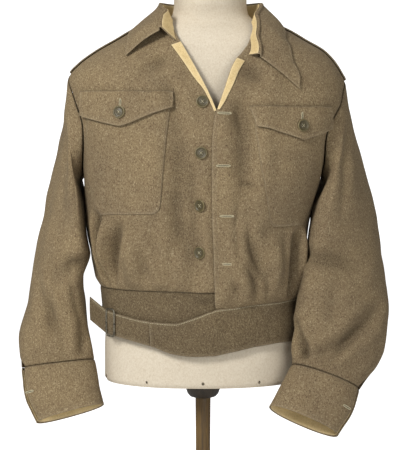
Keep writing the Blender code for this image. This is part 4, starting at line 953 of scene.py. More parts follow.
def frontEdge(side, share):
    edge = frontCut[side]["edge"]
    at = [r[0] for r in edge]
    x, z = Smooth(at, [r[1] * mm for r in edge]), Smooth(at, [r[2] * mm for r in edge])
    last = at[-1]
    neck = [r for r in frontCut[side]["neck"] if r[0] <= 90]
    start = abs(float(angleAt(x(last), z(last))))
    around = start + (90 - start) * (np.maximum(share - last, 0) / (1 - last)) ** 1.15
    heights = Smooth([start] + [r[0] for r in neck[1:]], [float(z(last))] + [r[1] * mm for r in neck[1:]])
    low = share <= last
    return np.where(low, angleAt(x(share), z(share)), side * around), np.where(low, z(share), heights(around))


def outerRail(side, share, seam):
    total = panelRows["seam"] + panelRows["armhole"]
    row = share * total
    trim = math.degrees(jacket["seamGap"] / (2 * 130 * mm)) * seam
    low = float(waistSeam(side * 90)) + jacket["seamGap"]
    height = low + (jacket["armpit"] - low) * np.minimum(row / panelRows["seam"], 1)
    turn = 180 * (1 - np.maximum(row - panelRows["seam"], 0) / panelRows["armhole"])
    angle, high = armhole(side, seam * turn)
    below = row <= panelRows["seam"]
    near = np.abs(turn - 90) > 89
    return np.where(below, side * (90 - trim), angle - side * trim * near), np.where(below, height, high)


def coons(bottom, top, inner, outer, s, v):
    # a four-sided panel blended in space between its edges and put back on the body
    b, t, i, o = (smoothPoint(*edge) for edge in (bottom(s), top(s), inner(v), outer(v)))
    sv, vv = s[None, :, None], v[:, None, None]
    flat = (1 - vv) * ((1 - sv) * b[0] + sv * b[-1]) + vv * ((1 - sv) * t[0] + sv * t[-1])
    angle, height = spotOf((1 - vv) * b[None] + vv * t[None] + (1 - sv) * i[:, None] + sv * o[:, None] - flat)
    angle, height = angle.copy(), height.copy()
    for index, edge in (((slice(None), 0), inner(v)), ((slice(None), -1), outer(v)), ((0,), bottom(s)),
                        ((-1,), top(s))):
        angle[index], height[index] = edge
    return angle, height


def frontSpots(side, columns, rows):
    trim = math.degrees(jacket["seamGap"] / (2 * 100 * mm))
    waistAt = float(frontEdge(side, np.array(0.0))[0])

    def bottom(s):
        angle = waistAt + (side * 90 - waistAt) * s
        level0 = waistSeam(angle)
        return angle, (level0 if side == left else np.where(angle < -20, level0, waist["top"])) + jacket["seamGap"]

    def top(s):
        return 0 * s + side * (90 - trim), jacket["neckPoint"] + (jacket["shoulder"][side] - jacket["neckPoint"]) * s

    def inner(v):
        angle, height = frontEdge(side, v)
        return angle, np.maximum(height, bottom(np.zeros(1))[1][0])

    spots = coons(bottom, top, inner, lambda v: outerRail(side, v, 1), columns, rows)
    return sideways(spots, side)


def frontLift(side):
    def lift(angle, height):
        over = (1 - blendIn(angle, 20, 44)) * (1 - blendIn(height, 0.84, 0.90))
        return panelRows["overlapLift"] * over * (side == left)

    return lift


def backSpots(seamRows, holeRows, shoulderRows, halfColumns):
    trim = math.degrees(jacket["seamGap"] / (2 * 100 * mm))
    rails = {}
    for side, _ in sides:
        low, high = float(waistSeam(side * 90)) + jacket["seamGap"], jacket["shoulder"][side]
        up = low + (jacket["armpit"] - low) * seamRows
        holes = armhole(side, -180 * (1 - holeRows))
        over = high + (jacket["neckPoint"] - high) * shoulderRows
        edge = lambda part: np.full(len(part), side * (90 + trim))
        rails[side] = np.concatenate([edge(up), holes[0], edge(over)]), np.concatenate([up, holes[1], over])
    parts, centre = [], 0

    def ends(side, turn):
        neck = [r for r in frontCut[side]["neck"] if r[0] >= 90]
        top = Smooth([r[0] for r in neck], [r[1] * mm for r in neck])
        return waistSeam(side * turn) + jacket["seamGap"], top(turn)

    shares = {}
    for side, _ in sides:
        angle, height = rails[side]
        low, high = ends(side, np.abs(angle))
        shares[side] = (height - low) / (high - low)
        centre = centre + shares[side] / 2
    for side, _ in sides[::-1]:
        angle = rails[side][0][:, None]
        s = halfColumns[None, ::-1]
        turn = 180 - (180 - np.abs(angle)) * s
        low, high = ends(side, turn)
        up = shares[side][:, None] * s + centre[:, None] * (1 - s)
        parts.append((side * turn, low + (high - low) * up))
    (a0, h0), (a1, h1) = parts
    return np.concatenate([a0, a1[:, -2::-1]], axis=1), np.concatenate([h0, h1[:, -2::-1]], axis=1)


def facingSpots(side):
    rows = np.linspace(*frontCut[side]["facing"], 60)
    share = np.linspace(0, 1, 60)
    widths = Smooth(*zip(*((at, wide * mm) for at, wide in frontCut[side]["facingWidth"])))(share)
    angle, height = frontEdge(side, rows)
    start = bodyPoint(angle, height)[:, 0]
    across = np.linspace(0, 1, 9)
    down = height[:, None] - 0.35 * widths[:, None] * across
    spots = angleAt(start[:, None] + side * widths[:, None] * across, down), down
    return sideways(spots, side)


def makeBody():
    for side, word in sides:
        columns, rows = spread(74, 190 * mm), spread(118, 470 * mm)
        spots = frontSpots(side, columns, rows)
        face, normal, shade = onBody(spots, frontLift(side))
        free = "left" if side == left else "right"
        sewnAt = ("bottom", "top", "right" if side == left else "left")
        grooves = ((free, panelRows["facingStitch"]),) if side == left else ()
        face = clothWall("front_" + word, face, normal, jacket["cloth"], serge, sewnAt, panelRows["frontStitch"],
                         shade,
                         grooves)
        stitch("body", face, normal, panelRows["frontStitch"], free, ends=1 * mm)
        over, base = frontLift(side), 0.65 * jacket["layGap"] + jacket["lining"]
        strip, up, _ = onBody(facingSpots(side), lambda a, h: base + over(a, h))
        clothWall("facing_" + word, strip, up, jacket["lining"], drill)
    spots = backSpots(spread(34, 200 * mm)[:-1], np.linspace(0, 1, 48)[1:-1], spread(26, 160 * mm),
                      spread(50, 210 * mm))
    face, normal, shade = onBody(spots, 0.0)
    clothWall("back", face, normal, jacket["cloth"], serge, borders, None, shade)


# Sleeves and cuffs: each row is lateral x, lateral z, medial x, medial z, centre y, depth, pitch, twist, sweep

sleeveCut = {
    "rows": {
        right: ((238, 856, 214.4, 704, 8, 67, 0, 0, 10.4), (247, 808, 205.1, 672, 8, 72, 0, 4, 38.4),
                (262, 748, 200.9, 632, 6, 72, 0, 8, 45.8), (279, 674, 195.9, 590, 2, 68, 2, 14, 44.5),
                (294, 592, 208.2, 546, -3, 63, 4, 20, 28.6), (307, 510, 204, 492, -10, 57, 7, 27, 15.1),
                (321, 440, 197, 440, -18, 50, 10, 33, 6), (317, 388, 189, 403, -27, 40, 13, 38, 0)),
        left: ((254, 846, 208.4, 704, 8, 67, 0, 0, 11.3), (268, 800, 191.2, 672, 8, 74, 0, 4, 35),
               (287, 738, 181.9, 632, 5, 76, 0, 8, 49.4), (305, 664, 176.4, 590, -2, 73, 4, 14, 50.1),
               (318, 584, 166.9, 546, -15, 68, 8, 20, 48.2), (324, 502, 156.8, 494, -38, 59, 13, 27, 37.3),
               (312, 424, 153.9, 446, -65, 50, 18, 33, 16), (266, 361, 150, 404, -88, 41, 22, 38, 0)),
    },
    "cuffs": {
        right: ((317, 388, 189, 403, -27, 40, 13, 0, 0), (311, 343, 181, 364, -35, 39, 16, 0, 0),
                (290, 294, 172, 327, -43, 37, 20, 0, 0)),
        left: ((266, 361, 150, 404, -88, 41, 22, 0, 0), (253, 324, 131, 371, -100, 39, 24, 0, 0),
               (227, 288, 111, 338, -110, 37, 27, 0, 0)),
    },
    "square": 2.25, "forearmSeam": 160.0, "hindarmSeam": 322.0, "vent": {right: (33.0, 7.5), left: (24.0, 7.5)},
    "cuffSpan": {right: (32.0, 358.0), left: (24.0, 358.0)}, "cuffStitch": 6 * mm,
    "ringLength": 62, "degreeLength": 0.95, "creaseGain": 1.4,
}
# Creases of the sleeves: ring and angle at both ends, half width and rise in millimetres
sleeveCreases = {
    right: ((4.2, 150, 5.4, 60, 13, -7), (5.6, 30, 7.2, 80, 13, -6), (5.0, 250, 6.2, 200, 14, -8),
            (6.6, 120, 7.8, 100, 11, -6),
            (2.2, 250, 4.0, 300, 15, -6), (1.2, 60, 3.6, 72, 9, -2.2), (1.5, 100, 3.2, 120, 10, -2.4),
            (4.6, 100, 6.6, 118, 9, -2.0),
            (5.2, 60, 7.4, 52, 8, -2.0), (7.2, 70, 8.0, 78, 7, -2.6), (3.4, 30, 5.0, 22, 10, -1.8)),
    left: ((4.0, 150, 5.2, 55, 14, -8), (6.5, 140, 7.9, 95, 11, -11), (6.2, 20, 7.6, 75, 11, -8),
           (5.0, 250, 6.2, 200, 14, -8),
           (2.2, 250, 4.0, 300, 15, -6), (1.2, 60, 3.4, 80, 9, -2.4), (1.4, 110, 3.0, 124, 10, -2.6),
           (6.9, 118, 8.0, 84, 7, -4.0),
           (6.7, 44, 8.0, 58, 6, -3.6), (5.4, 80, 6.8, 70, 9, -2.0), (7.1, 100, 7.9, 104, 6, -3.0)),
}


def ringPoint(row, side, angle, square):
    row = np.asarray(row, float)
    lateral, medial = np.array([row[0] * side, row[8], row[1]]) * mm, np.array([row[2] * side, -row[8], row[3]]) * mm
    centre = (lateral + medial) / 2 + np.array([0, row[4] * mm, 0])
    turn, pitch = np.radians(angle + row[7]), math.radians(row[6])
    reach = ringReach(turn, square)
    front = np.array([0, -math.cos(pitch), math.sin(pitch)]) * row[5] * mm
    return centre + np.outer(np.cos(turn) * reach, (lateral - medial) / 2) + np.outer(np.sin(turn) * reach, front)


def sleeveKnots(side, angle):
    spot = armhole(side, angle)
    nearTop = ((spot[1] - jacket["armpit"]) / (jacket["shoulder"][side] - jacket["armpit"])) ** 4
    start = bodyPoint(*spot) + np.array([side, 0, 0]) * ((1.1 + 1.1 * nearTop) * mm)[:, None]
    return np.array([start] + [ringPoint(row, side, angle, sleeveCut["square"]) for row in sleeveCut["rows"][side]])


def sleeveRise(side, ring, angle):
    rise = np.zeros(angle.shape)
    perRing, perDegree = sleeveCut["ringLength"], sleeveCut["degreeLength"]
    for ring0, angle0, ring1, angle1, width, depth in sleeveCreases[side]:
        line = np.array([(ring1 - ring0) * perRing, (angle1 - angle0) * perDegree])
        x, y = (ring - ring0) * perRing, (angle - angle0) * perDegree
        along = (x * line[0] + y * line[1]) / (line @ line)
        held = np.clip(along, 0, 1)
        off = np.hypot(x - held * line[0], y - held * line[1])
        rise += creaseProfile(off, width, sleeveCut["creaseGain"] * depth * mm) * (0.4 + 0.6 * np.sin(math.pi * held))
    return rise * blendIn(ring, 0.6, 1.6) * (1 - blendIn(ring, 7.6, 8.0))


def sleeveGrid(side, start, end, columns, rows):
    rings = 8 * rows**0.92
    opening, ventStart = sleeveCut["vent"][side]
    shares = np.concatenate([[-0.01], columns, [1.01]])
    grid = np.zeros((len(rings), len(shares), 3))
    rise = np.zeros((len(rings), len(shares)))
    for r, ring in enumerate(rings):
        vent = opening * float(blendIn(ring, ventStart, 8.0)) if start < 0 else 0.0
        trim = 0.3 + 0.7 * float(1 - blendIn(ring, 0.3, 1.2))
        first, last = start + vent + trim, end - trim
        angle = first + (last - first) * shares
        grid[r] = Smooth(range(9), sleeveKnots(side, angle))(ring)
        rise[r] = sleeveRise(side, ring, angle % 360)
    swell = waves(grid, 23 + side, ((120 * mm, 1.0 * mm, 5), (50 * mm, 0.5 * mm, 7), (24 * mm, 0.13 * mm, 7)))
    ease = blendIn(rings, 0.5, 1.5) * (1 - blendIn(rings, 7.5, 8.0))
    grid = grid + gridNormals(grid, side) * (rise + swell * ease[:, None])[..., None]
    normals = gridNormals(grid, side)
    return grid[:, 1:-1], normals[:, 1:-1], blendIn(-rise[:, 1:-1], 1.5 * mm, 10 * mm)


def cuffGrid(side, angles, downs, depth=0.0):
    knots = np.array([ringPoint(row, side, angles, sleeveCut["square"]) for row in sleeveCut["cuffs"][side]])
    grid = Smooth(range(3), knots)(downs)
    normals = gridNormals(grid, side)
    swell = waves(grid, 31 + side, ((60 * mm, 0.5 * mm, 5), (24 * mm, 0.2 * mm, 6)))
    return grid + normals * (swell - depth)[..., None], normals


def makeSleeves():
    for side, word in sides:
        rows = spread(116, 520 * mm)
        pieces = {"top": (sleeveCut["hindarmSeam"] - 360, sleeveCut["forearmSeam"], 84),
                  "under": (sleeveCut["forearmSeam"], sleeveCut["hindarmSeam"], 62)}
        for piece, (start, end, count) in pieces.items():
            face, normal, shade = sleeveGrid(side, start, end, spread(count, 240 * mm), rows)
            clothWall(f"sleeve_{word}_{piece}", face, normal, jacket["cloth"], sergeSleevePaintedLight, borders, None, shade)
        angles = np.linspace(*sleeveCut["cuffSpan"][side], 120)
        face, normal = cuffGrid(side, angles, 0.022 + 1.978 * spread(26, 70 * mm))
        hem = sleeveCut["cuffStitch"]
        face = clothWall("cuff_" + word, face, normal, jacket["doubleCloth"], sergeSleevePaintedLight, ("bottom",), hem)
        stitch("sleeves", face, normal, hem, "top", "left", "right")
        stitch("sleeves", face, normal, 2 * mm, "bottom")
        depth = jacket["doubleCloth"] + 0.5 * mm
        inner = np.linspace(sleeveCut["cuffSpan"][side][0] + 1, sleeveCut["cuffSpan"][side][1] - 1, 90)
        face, normal = cuffGrid(side, inner, np.linspace(0.13, 1.97, 22), depth)
        clothWall("cuff_lining_" + word, face, normal, jacket["lining"], drill)


# Collar: share from the front end to the centre back, angle round the neck, roll line beyond the seam,
# and the outer edge of the leaf on the body

collarCut = {
    left: ((0.00, 20, 18, 15, 2, 37.5, 868, 5), (0.18, 27, 15, 7, 6, 37.5, 905, 6), (0.40, 44, 8, 2, 17, 46, 948, 5),
           (0.62, 90, 6, 0, 25, 90, 980, 5), (0.82, 135, 3, 0, 34, 143, 962, 5), (1.00, 180, 3, 0, 38, 180, 955, 5)),
    right: ((0.00, 16, 10, 25, 24, 37, 922, 6), (0.18, 25, 10, 17, 19, 44, 940, 6), (0.40, 42, 7, 3, 19, 62, 962, 6),
            (0.62, 90, 3, 0, 25, 90, 985, 5), (0.82, 135, 3, 0, 34, 143, 964, 5), (1.00, 180, 3, 0, 38, 180, 955, 5)),
    "rollRadius": 3.4 * mm, "stitch": 6 * mm,
}


def collarSections(side, shares):
    names = "share angle out aside up leafAngle leafHeight leafLift"
    row = {n: c(shares) for n, c in smoothTable(names, collarCut[side], ("share", "angle", "leafAngle")).items()}
    neck = frontCut[side]["neck"]
    height = Smooth([r[0] for r in neck], [r[1] * mm for r in neck])(row["angle"])
    angle = side * row["angle"]
    seam = bodyPoint(angle, np.minimum(height, 996 * mm))
    normal = bodyNormal(angle, height)
    out = unit(normal * np.array([1, 1, 0]))
    zUp = np.array([0, 0, 1.0])
    seam = seam + normal * 0.8 * mm + zUp * 0.8 * mm - out * 1.2 * mm
    roll = seam + out * row["out"][:, None] + zUp * row["up"][:, None] + np.array([side, 0, 0]) * row["aside"][:,
                                                                                                               None]
    edge = bodyPoint(side * row["leafAngle"], row["leafHeight"], row["leafLift"])
    up = unit(roll - seam)
    over = edge - roll
    over = unit(over - up * np.sum(over * up, axis=1, keepdims=True))
    r = collarCut["rollRadius"]
    centre = roll + over * r - up * r
    points = [seam + (centre - over * r - seam) * t for t in np.linspace(0, 1, 10)[:-1]]
    for turn in np.linspace(180, 0, 9):
        lean = math.radians(turn)
        points.append(centre + r * (math.cos(lean) * over + math.sin(lean) * up))
    last = points[-1]
    for t in np.concatenate([np.linspace(0, 0.88, 24)[1:], (0.92, 0.95, 0.975, 1.0)]):
        bulge = up * 4 * mm * math.sin(math.pi * t) * (1 - 0.3 * t)
        points.append(last + (edge - last) * t + bulge)
    return np.array(points)


def makeCollar():
    shares = spread(60, 300 * mm, (1.0, 2.2, 4.0, 6.0))[:-4]
    shares = shares / shares[-1]
    rightHalf, leftHalf = collarSections(right, shares), collarSections(left, shares)
    grid = np.concatenate([rightHalf, leftHalf[:, -2::-1]], axis=1)
    normal = gridNormals(grid)
    swell = waves(grid, 41, ((70 * mm, 0.6 * mm, 5), (28 * mm, 0.2 * mm, 6)))
    leaf = blendIn(np.arange(len(grid)), 16, 26)[:, None]
    face = grid + normal * (swell * leaf)[..., None]
    face = clothWall("collar", face, normal, jacket["cloth"], serge, ("bottom",), collarCut["stitch"])
    stitch("collar", face, normal, collarCut["stitch"], "top", "left", "right")
    stand = grid[:10]
    stand = stand[0] + (stand[-1] - stand[0]) * np.linspace(0.03, 0.96, 10)[:, None, None]
    up = gridNormals(stand)
    near = stand + up * (0.5 * mm + jacket["lining"])
    clothWall("collar_lining", near, up, jacket["lining"], drill)


# Pockets

pocketCut = {
    right: {"inner": ((-52, 864), (-64, 756), (-70, 664)), "outer": ((-192, 864), (-196, 756), (-176, 660)),
            "flapInner": ((-49, 864), (-54, 837)), "flapPoint": (-134, 807), "flapOuter": ((-203, 866), (-201, 826)),
            "button": (-134, 829)},
    left: {"inner": ((84, 838), (97, 730), (110, 642)), "outer": ((204, 838), (200, 730), (170, 642)),
           "flapInner": ((79, 840), (91, 807)), "flapPoint": (163, 785), "flapOuter": ((211, 840), (213, 806)),
           "button": (161, 808)},
    "corner": 16 * mm, "puff": 2.6 * mm, "stitch": 2.2 * mm, "flapStitch": 5 * mm,
}


def edgeCurve(points, height):
    order = sorted(points, key=lambda p: p[1])
    return Smooth([p[1] * mm for p in order], [p[0] * mm for p in order])(height)


def pocketSpots(side, columns, rows):
    shape = pocketCut[side]
    lowInner, lowOuter = shape["inner"][-1][1] * mm, shape["outer"][-1][1] * mm
    high = min(shape["flapInner"][0][1], shape["flapOuter"][0][1]) * mm - 10 * mm
    s = columns[None, :]
    near = np.minimum(s, 1 - s) * 2 * 70 * mm
    corner = pocketCut["corner"]
    inside = np.minimum(near, corner)
    low = lowInner + (lowOuter - lowInner) * s + (corner - np.sqrt(corner**2 - (corner - inside) ** 2)) * 0.8
    height = low + (high - low) * rows[:, None]
    inner, outer = (angleAt(edgeCurve(shape[edge], height), height) for edge in ("inner", "outer"))
    spots = inner + (outer - inner) * s, height
    return sideways(spots, side)


def flapSpots(side, columns, rows):
    shape = pocketCut[side]
    spot = lambda p: np.array([float(angleAt(p[0] * mm, p[1] * mm)), p[1] * mm])
    (innerTop, innerLow), (outerTop, outerLow) = ([spot(p) for p in shape[k]] for k in ("flapInner", "flapOuter"))
    point = spot(shape["flapPoint"])
    s = columns[:, None]
    top = innerTop + (outerTop - innerTop) * s
    low = np.where(s <= 0.5, innerLow + (point - innerLow) * s * 2, point + (outerLow - point) * (s * 2 - 1))
    grid = low[None] + (top - low)[None] * rows[:, None, None]
    spots = grid[..., 0], grid[..., 1]
    return sideways(spots, side)


def flapLift(side):
    shape, over = pocketCut[side], frontLift(side)
    top, point = shape["flapInner"][0][1] * mm, shape["flapPoint"][1] * mm
    under = jacket["cloth"] * 0.8 + 1.5 * jacket["layGap"] + jacket["doubleCloth"]
    return lambda angle, height: under + over(angle, height) + 4 * mm * blendIn(top - height, 0, top - point)


def makePockets():
    for side, word in sides:
        over = frontLift(side)
        columns, rows = spread(44, 115 * mm), spread(66, 190 * mm)
        spots = pocketSpots(side, columns, rows)
        puff = pocketCut["puff"] * (np.sin(math.pi * columns)[None] ** 0.7) * np.sin(math.pi * rows)[:, None] ** 0.7
        puff = puff if side == left else puff[:, ::-1]
        thick = jacket["cloth"] * 0.8
        face, normal, shade = onBody(spots, lambda a, h: thick + 0.4 * mm + over(a, h) + puff)
        face = clothWall("pocket_" + word, face, normal, thick, serge, (), pocketCut["stitch"], shade)
        stitch("pockets", face, normal, pocketCut["stitch"], "left", "right", "bottom")
        spots = flapSpots(side, spread(46, 120 * mm), spread(16, 45 * mm))
        face, normal, _ = onBody(spots, flapLift(side))
        hem = pocketCut["flapStitch"]
        face = clothWall("pocket_flap_" + word, face, normal, jacket["doubleCloth"], serge, ("top",), hem)
        stitch("pockets", face, normal, hem, "left", "right", "bottom")
        stitch("pockets", face, normal, 2 * mm, "top")
        x, height = (v * mm for v in pocketCut[side]["button"])
        angle = angleAt(x, height)
        makeButton("flap_button_" + word, angle, height, flapLift(side)(angle, height) + 1.0 * mm)
        up = height + 15 * mm
        angle = angleAt(x, up)
        normal = bodyNormal(angle, up)
        buttonhole(bodyPoint(angle, up, flapLift(side)(angle, up)), normal, np.array([0, 0, 1.0]))


# Buttons: a dished disc with a rolled rim, four holes and crossed thread

buttonCut = {
    "radius": 10.5 * mm, "height": 3.0 * mm, "holes": 2.3 * mm, "frontHole": 23 * mm, "cuffHole": 19 * mm,
    "profile": ((0, 0), (0.70, 0), (0.86, 0.08), (0.97, 0.28), (1, 0.52), (0.985, 0.78), (0.94, 0.94), (0.88, 1),
                (0.80, 0.97), (0.74, 0.84), (0.70, 0.66), (0.62, 0.56), (0.45, 0.56), (0.40, 0.62), (0.18, 0.60),
                (0, 0.60)),  # shares of the radius and the height
    "front": ((-1, 847), (-3, 763), (-4, 677), (-5, 599)),
    "frontHoles": ((34, 827), (33, 742), (39, 660), (41, 581)),
}


def discMesh(name, centre, normal):
    r, h = buttonCut["radius"], buttonCut["height"]
    profile = [(out * r, up * h) for out, up in buttonCut["profile"]]
    return place(turnedMesh(name, profile, 40, buttonPaint, centre, normal), "button", name[:-5])


def makeButton(name, angle, height, lift):
    normal = bodyNormal(angle, height)
    discMesh(name + "_disc", bodyPoint(angle, height, lift), normal)
    crossThreads(bodyPoint(angle, height, lift), normal)


threadBars = []


def crossThreads(centre, normal):
    side = unit(np.cross(normal, np.array([0, 0, 1.0])))
    up = np.cross(side, normal)
    reach, high = buttonCut["holes"], buttonCut["height"] * 0.66
    for sx, sz in ((1, 1), (1, -1)):
        ends = [centre + normal * high + (side * sx + up * sz) * reach * t for t in (-1, 1)]
        path = [ends[0] + (ends[1] - ends[0]) * t + normal * 0.5 * mm * math.sin(math.pi * t)
                for t in np.linspace(0, 1, 7)]
        threadBars.append((np.array(path), normal, False))


def makeFrontButtons():
    for i, (x, height) in enumerate(buttonCut["front"], 1):
        makeButton(f"front_button_{i}", angleAt(x * mm, height * mm), height * mm, 0.7 * mm)
    for x, height in np.array(buttonCut["frontHoles"]) * mm:
        angle = angleAt(x, height)
        centre = bodyPoint(angle, height, frontLift(left)(angle, height))
        buttonhole(centre, bodyNormal(angle, height), np.array([1.0, 0, 0]), buttonCut["frontHole"])
    for side, word in sides:
        face, normals = cuffGrid(side, np.linspace(310, 330, 5), np.linspace(0.95, 1.05, 5))
        centre, normal = face[2, 2], normals[2, 2]
        discMesh(f"cuff_button_{word}_disc", centre - normal * 0.2 * mm, normal)
        crossThreads(centre - normal * 0.2 * mm, normal)
        face, normals = cuffGrid(side, np.linspace(30, 50, 5), np.linspace(0.9, 1.1, 5))
        buttonhole(face[2, 2], normals[2, 2], face[2, 3] - face[2, 1], buttonCut["cuffHole"])


# Waistband, belt, tongue and buckle

beltCut = {
    "rows": ((-159, 494, 456, 9.5), (-130, 487, 450, 7.0), (-87, 480, 440, 6.5), (-48, 478, 427, 6.5),
             (-17, 487, 424, 6.5),
             (17, 500, 425, 6.2), (44, 506, 430, 4.4), (99, 511, 439, 0.0), (167, 512, 444, 0.0)),
    "tongue": (-159, -87.4), "free": 44 * mm, "freeRise": 12 * mm, "stitch": 4 * mm,
    "buckleX": -150, "buckle": (20 * mm, 46 * mm, 1.4 * mm),
}


def bandSpots(start, end, columns, rows):
    angle = start + (end - start) * columns[None, :] + 0 * rows[:, None]
    top = np.where((angle >= -90) & (angle <= 20), waist["top"], waistSeam(angle))
    low = top - (waist["top"] - waist["bottom"])
    return angle, low + (top - jacket["seamGap"] - low) * rows[:, None]


def beltGrid(xs, rows):
    belt = smoothTable("x top bottom lift", beltCut["rows"])
    low, high = belt["bottom"](xs), belt["top"](xs)
    high = high + (waistSeam(angleAt(xs, high)) - jacket["seamGap"] - high) * blendIn(xs, 16 * mm, 26 * mm)
    height = low + (high - low) * rows[:, None]
    angle = angleAt(xs[None, :] + 0 * height, height)
    lift = belt["lift"](xs) + 0.8 * mm * np.sin(math.pi * rows)[:, None]
    return bodyPoint(angle, height, lift)


def puckered(grid, normals, seed, depth=0.5):
    # the small waves that rows of stitching draw into a double band
    bands = ((52 * mm, 0.9 * mm * depth, 5), (20 * mm, 0.4 * mm * depth, 6), (9 * mm, 0.12 * mm * depth, 6))
    swell = waves(grid, seed, bands)
    return grid + normals * swell[..., None]


def makeWaist():
    rows, hem = spread(18, 70 * mm), beltCut["stitch"]
    for node, start, end, lift, count in (
        ("waistband_right", -89.85, 12, -1.2 * mm, 90), ("waistband_back", 90.15, 269.85, 0.0, 150),
    ):
        face, normal, _ = onBody(bandSpots(start, end, spread(count, 300 * mm), rows), lift)
        face = puckered(face, normal, 53)
        face = clothWall(node, face, normal, jacket["doubleCloth"], sergeBandPaintedShade, ("left", "right", "top"), hem)
        stitch("waist", face, normal, hem, "bottom", ends=1 * mm)
    xs = -87 * mm + 219 * mm * spread(110, 240 * mm)[:-1]
    grid = beltGrid(xs, rows)
    ends = []
    for angle in np.linspace(66, 89.85, 16):
        top, low = waistSeam(angle) - jacket["seamGap"], waistSeam(angle) - (waist["top"] - waist["bottom"])
        ends.append(bodyPoint(np.full(len(rows), angle), low + (top - low) * rows))
    keep = xs < bodyPoint(66.0, 480 * mm)[0] - 6 * mm
    grid = np.concatenate([grid[:, keep], np.array(ends).transpose(1, 0, 2)], axis=1)
    normal = gridNormals(grid)
    face = puckered(grid, normal, 59, 0.8)
    normal = gridNormals(face)
    face = clothWall("waistband_left", face, normal, jacket["doubleCloth"], sergeBandPaintedShade, ("right",), hem)
    stitch("waist", face, normal, hem, "bottom", ends=1 * mm)
    paleLines.append(inset(face, normal, "top", 1.2 * mm, ends=1 * mm))
    xs = np.linspace(*beltCut["tongue"], 40) * mm
    outer = beltGrid(xs, rows)
    ahead = unit(outer[:, 0] - outer[:, 1])
    tail = [outer[:, 0] + ahead * beltCut["free"] * t + np.array([0, 0, beltCut["freeRise"] * t])
            for t in np.linspace(1, 0, 26)[:-1]]
    grid = np.concatenate([np.array(tail).transpose(1, 0, 2), outer], axis=1)
    normal = gridNormals(grid)
    face = clothWall("belt_tongue", grid, normal, jacket["doubleCloth"], sergeBandPaintedShade, ("right",), hem)
    stitch("waist", face, normal, hem, "bottom", "left")
    paleLines.append(inset(face, normal, "top", 1.2 * mm))
    makeBuckle()


def makeBuckle():
    # a wire frame with rounded corners that holds the tongue
    wide, high, wire = beltCut["buckle"]
    x, height = beltCut["buckleX"] * mm, 475 * mm
    angle = angleAt(x, height)
    lift = float(smoothTable("x top bottom lift", beltCut["rows"])["lift"](x)) + 2.2 * mm
    centre, normal = bodyPoint(angle, height, lift), bodyNormal(angle, height)
    up = np.array([0, 0, 1.0])
    along = unit(np.cross(up, normal))
    turns = np.linspace(0, 2 * math.pi, 72, endpoint=False)
    reach = ringReach(turns, 7.0)
    path = centre + np.outer(np.cos(turns) * reach, along) * wide / 2 + np.outer(np.sin(turns) * reach, up) * high / 2
    place(tubeMesh("buckle_wire", path, wire, steel, 12, True), "buckle", "buckle")


# Shoulder straps

strapCut = {
    "front": -16 * mm, "back": 30 * mm, "innerX": {right: 100 * mm, left: 133 * mm}, "lift": 3.9 * mm,
    "stitch": 4 * mm,
}


def makeStraps():
    for side, word in sides:
        column = body["left"] if side == left else body["right"]
        heights = np.linspace(jacket["shoulder"][side] + 2 * mm, 990 * mm, 200)
        inner = heights[np.argmax(column(heights) < strapCut["innerX"][side])]
        share = spread(46, 110 * mm)
        height = heights[0] + (inner - heights[0]) * share[:, None] + 0 * spread(20, 46 * mm)
        y = np.interp(spread(20, 46 * mm), (0, 1),
                      (strapCut["front"], strapCut["back"])) * (1 - 0.16 * share[:, None])
        spots = angleAtDepth(y, height, side), height
        spots = sideways(spots, side)
        face, normal, _ = onBody(spots, strapCut["lift"])
        hem = strapCut["stitch"]
        face = clothWall("shoulder_strap_" + word, face, normal, jacket["doubleCloth"], sergeBandPaintedShade, ("bottom",), hem)
        stitch("straps", face, normal, hem, "left", "right", "top")


# Dress form and stand

formCut = {
    "shape": smoothTable(
        "height left right front back square",
        (
            (365, 168, 173, 102, 95, 2.2), (430, 167, 172, 103, 95, 2.2), (520, 160, 165, 102, 94, 2.2),
            (600, 162, 168, 105, 98, 2.2), (700, 176, 178, 108, 104, 2.3), (800, 192, 190, 104, 106, 2.4),
            (860, 203, 196, 97, 105, 2.4), (895, 210, 200, 91, 102, 2.3), (930, 212, 196, 83, 96, 2.2),
            (955, 178, 152, 74, 88, 2.1), (972, 126, 100, 64, 79, 2.0), (985, 94, 68, 56, 68, 2.0),
            (1000, 78, 53, 60, 59, 2.0), (1015, 75, 51, 68, 56, 2.0), (1056, 75, 51, 70, 52, 2.0),
            (1064, 69, 45, 64, 46, 2.0), (1066, 50, 26, 45, 27, 2.0),
        ),
        plain=("square",),
    ),
    "bottom": 365 * mm, "ease": 8 * mm, "sides": 144, "neckSeam": 938 * mm, "tackHeight": 374 * mm, "tacks": 8,
}


def formRing(height, angle):
    half, face, square = ringSizes(formCut["shape"], angle, height)
    inside = (height > 880 * mm) & (height < 998 * mm)
    bodyHalf, bodyFace, _ = ringSizes(body, angle, height)
    half = np.where(inside, np.minimum(half, bodyHalf - formCut["ease"]), half)
    face = np.where(inside, np.minimum(face, bodyFace - formCut["ease"]), face)
    turn = np.radians(angle)
    reach = ringReach(turn, square)
    return np.stack([half * reach * np.sin(turn), -face * reach * np.cos(turn), height + 0 * turn], -1)


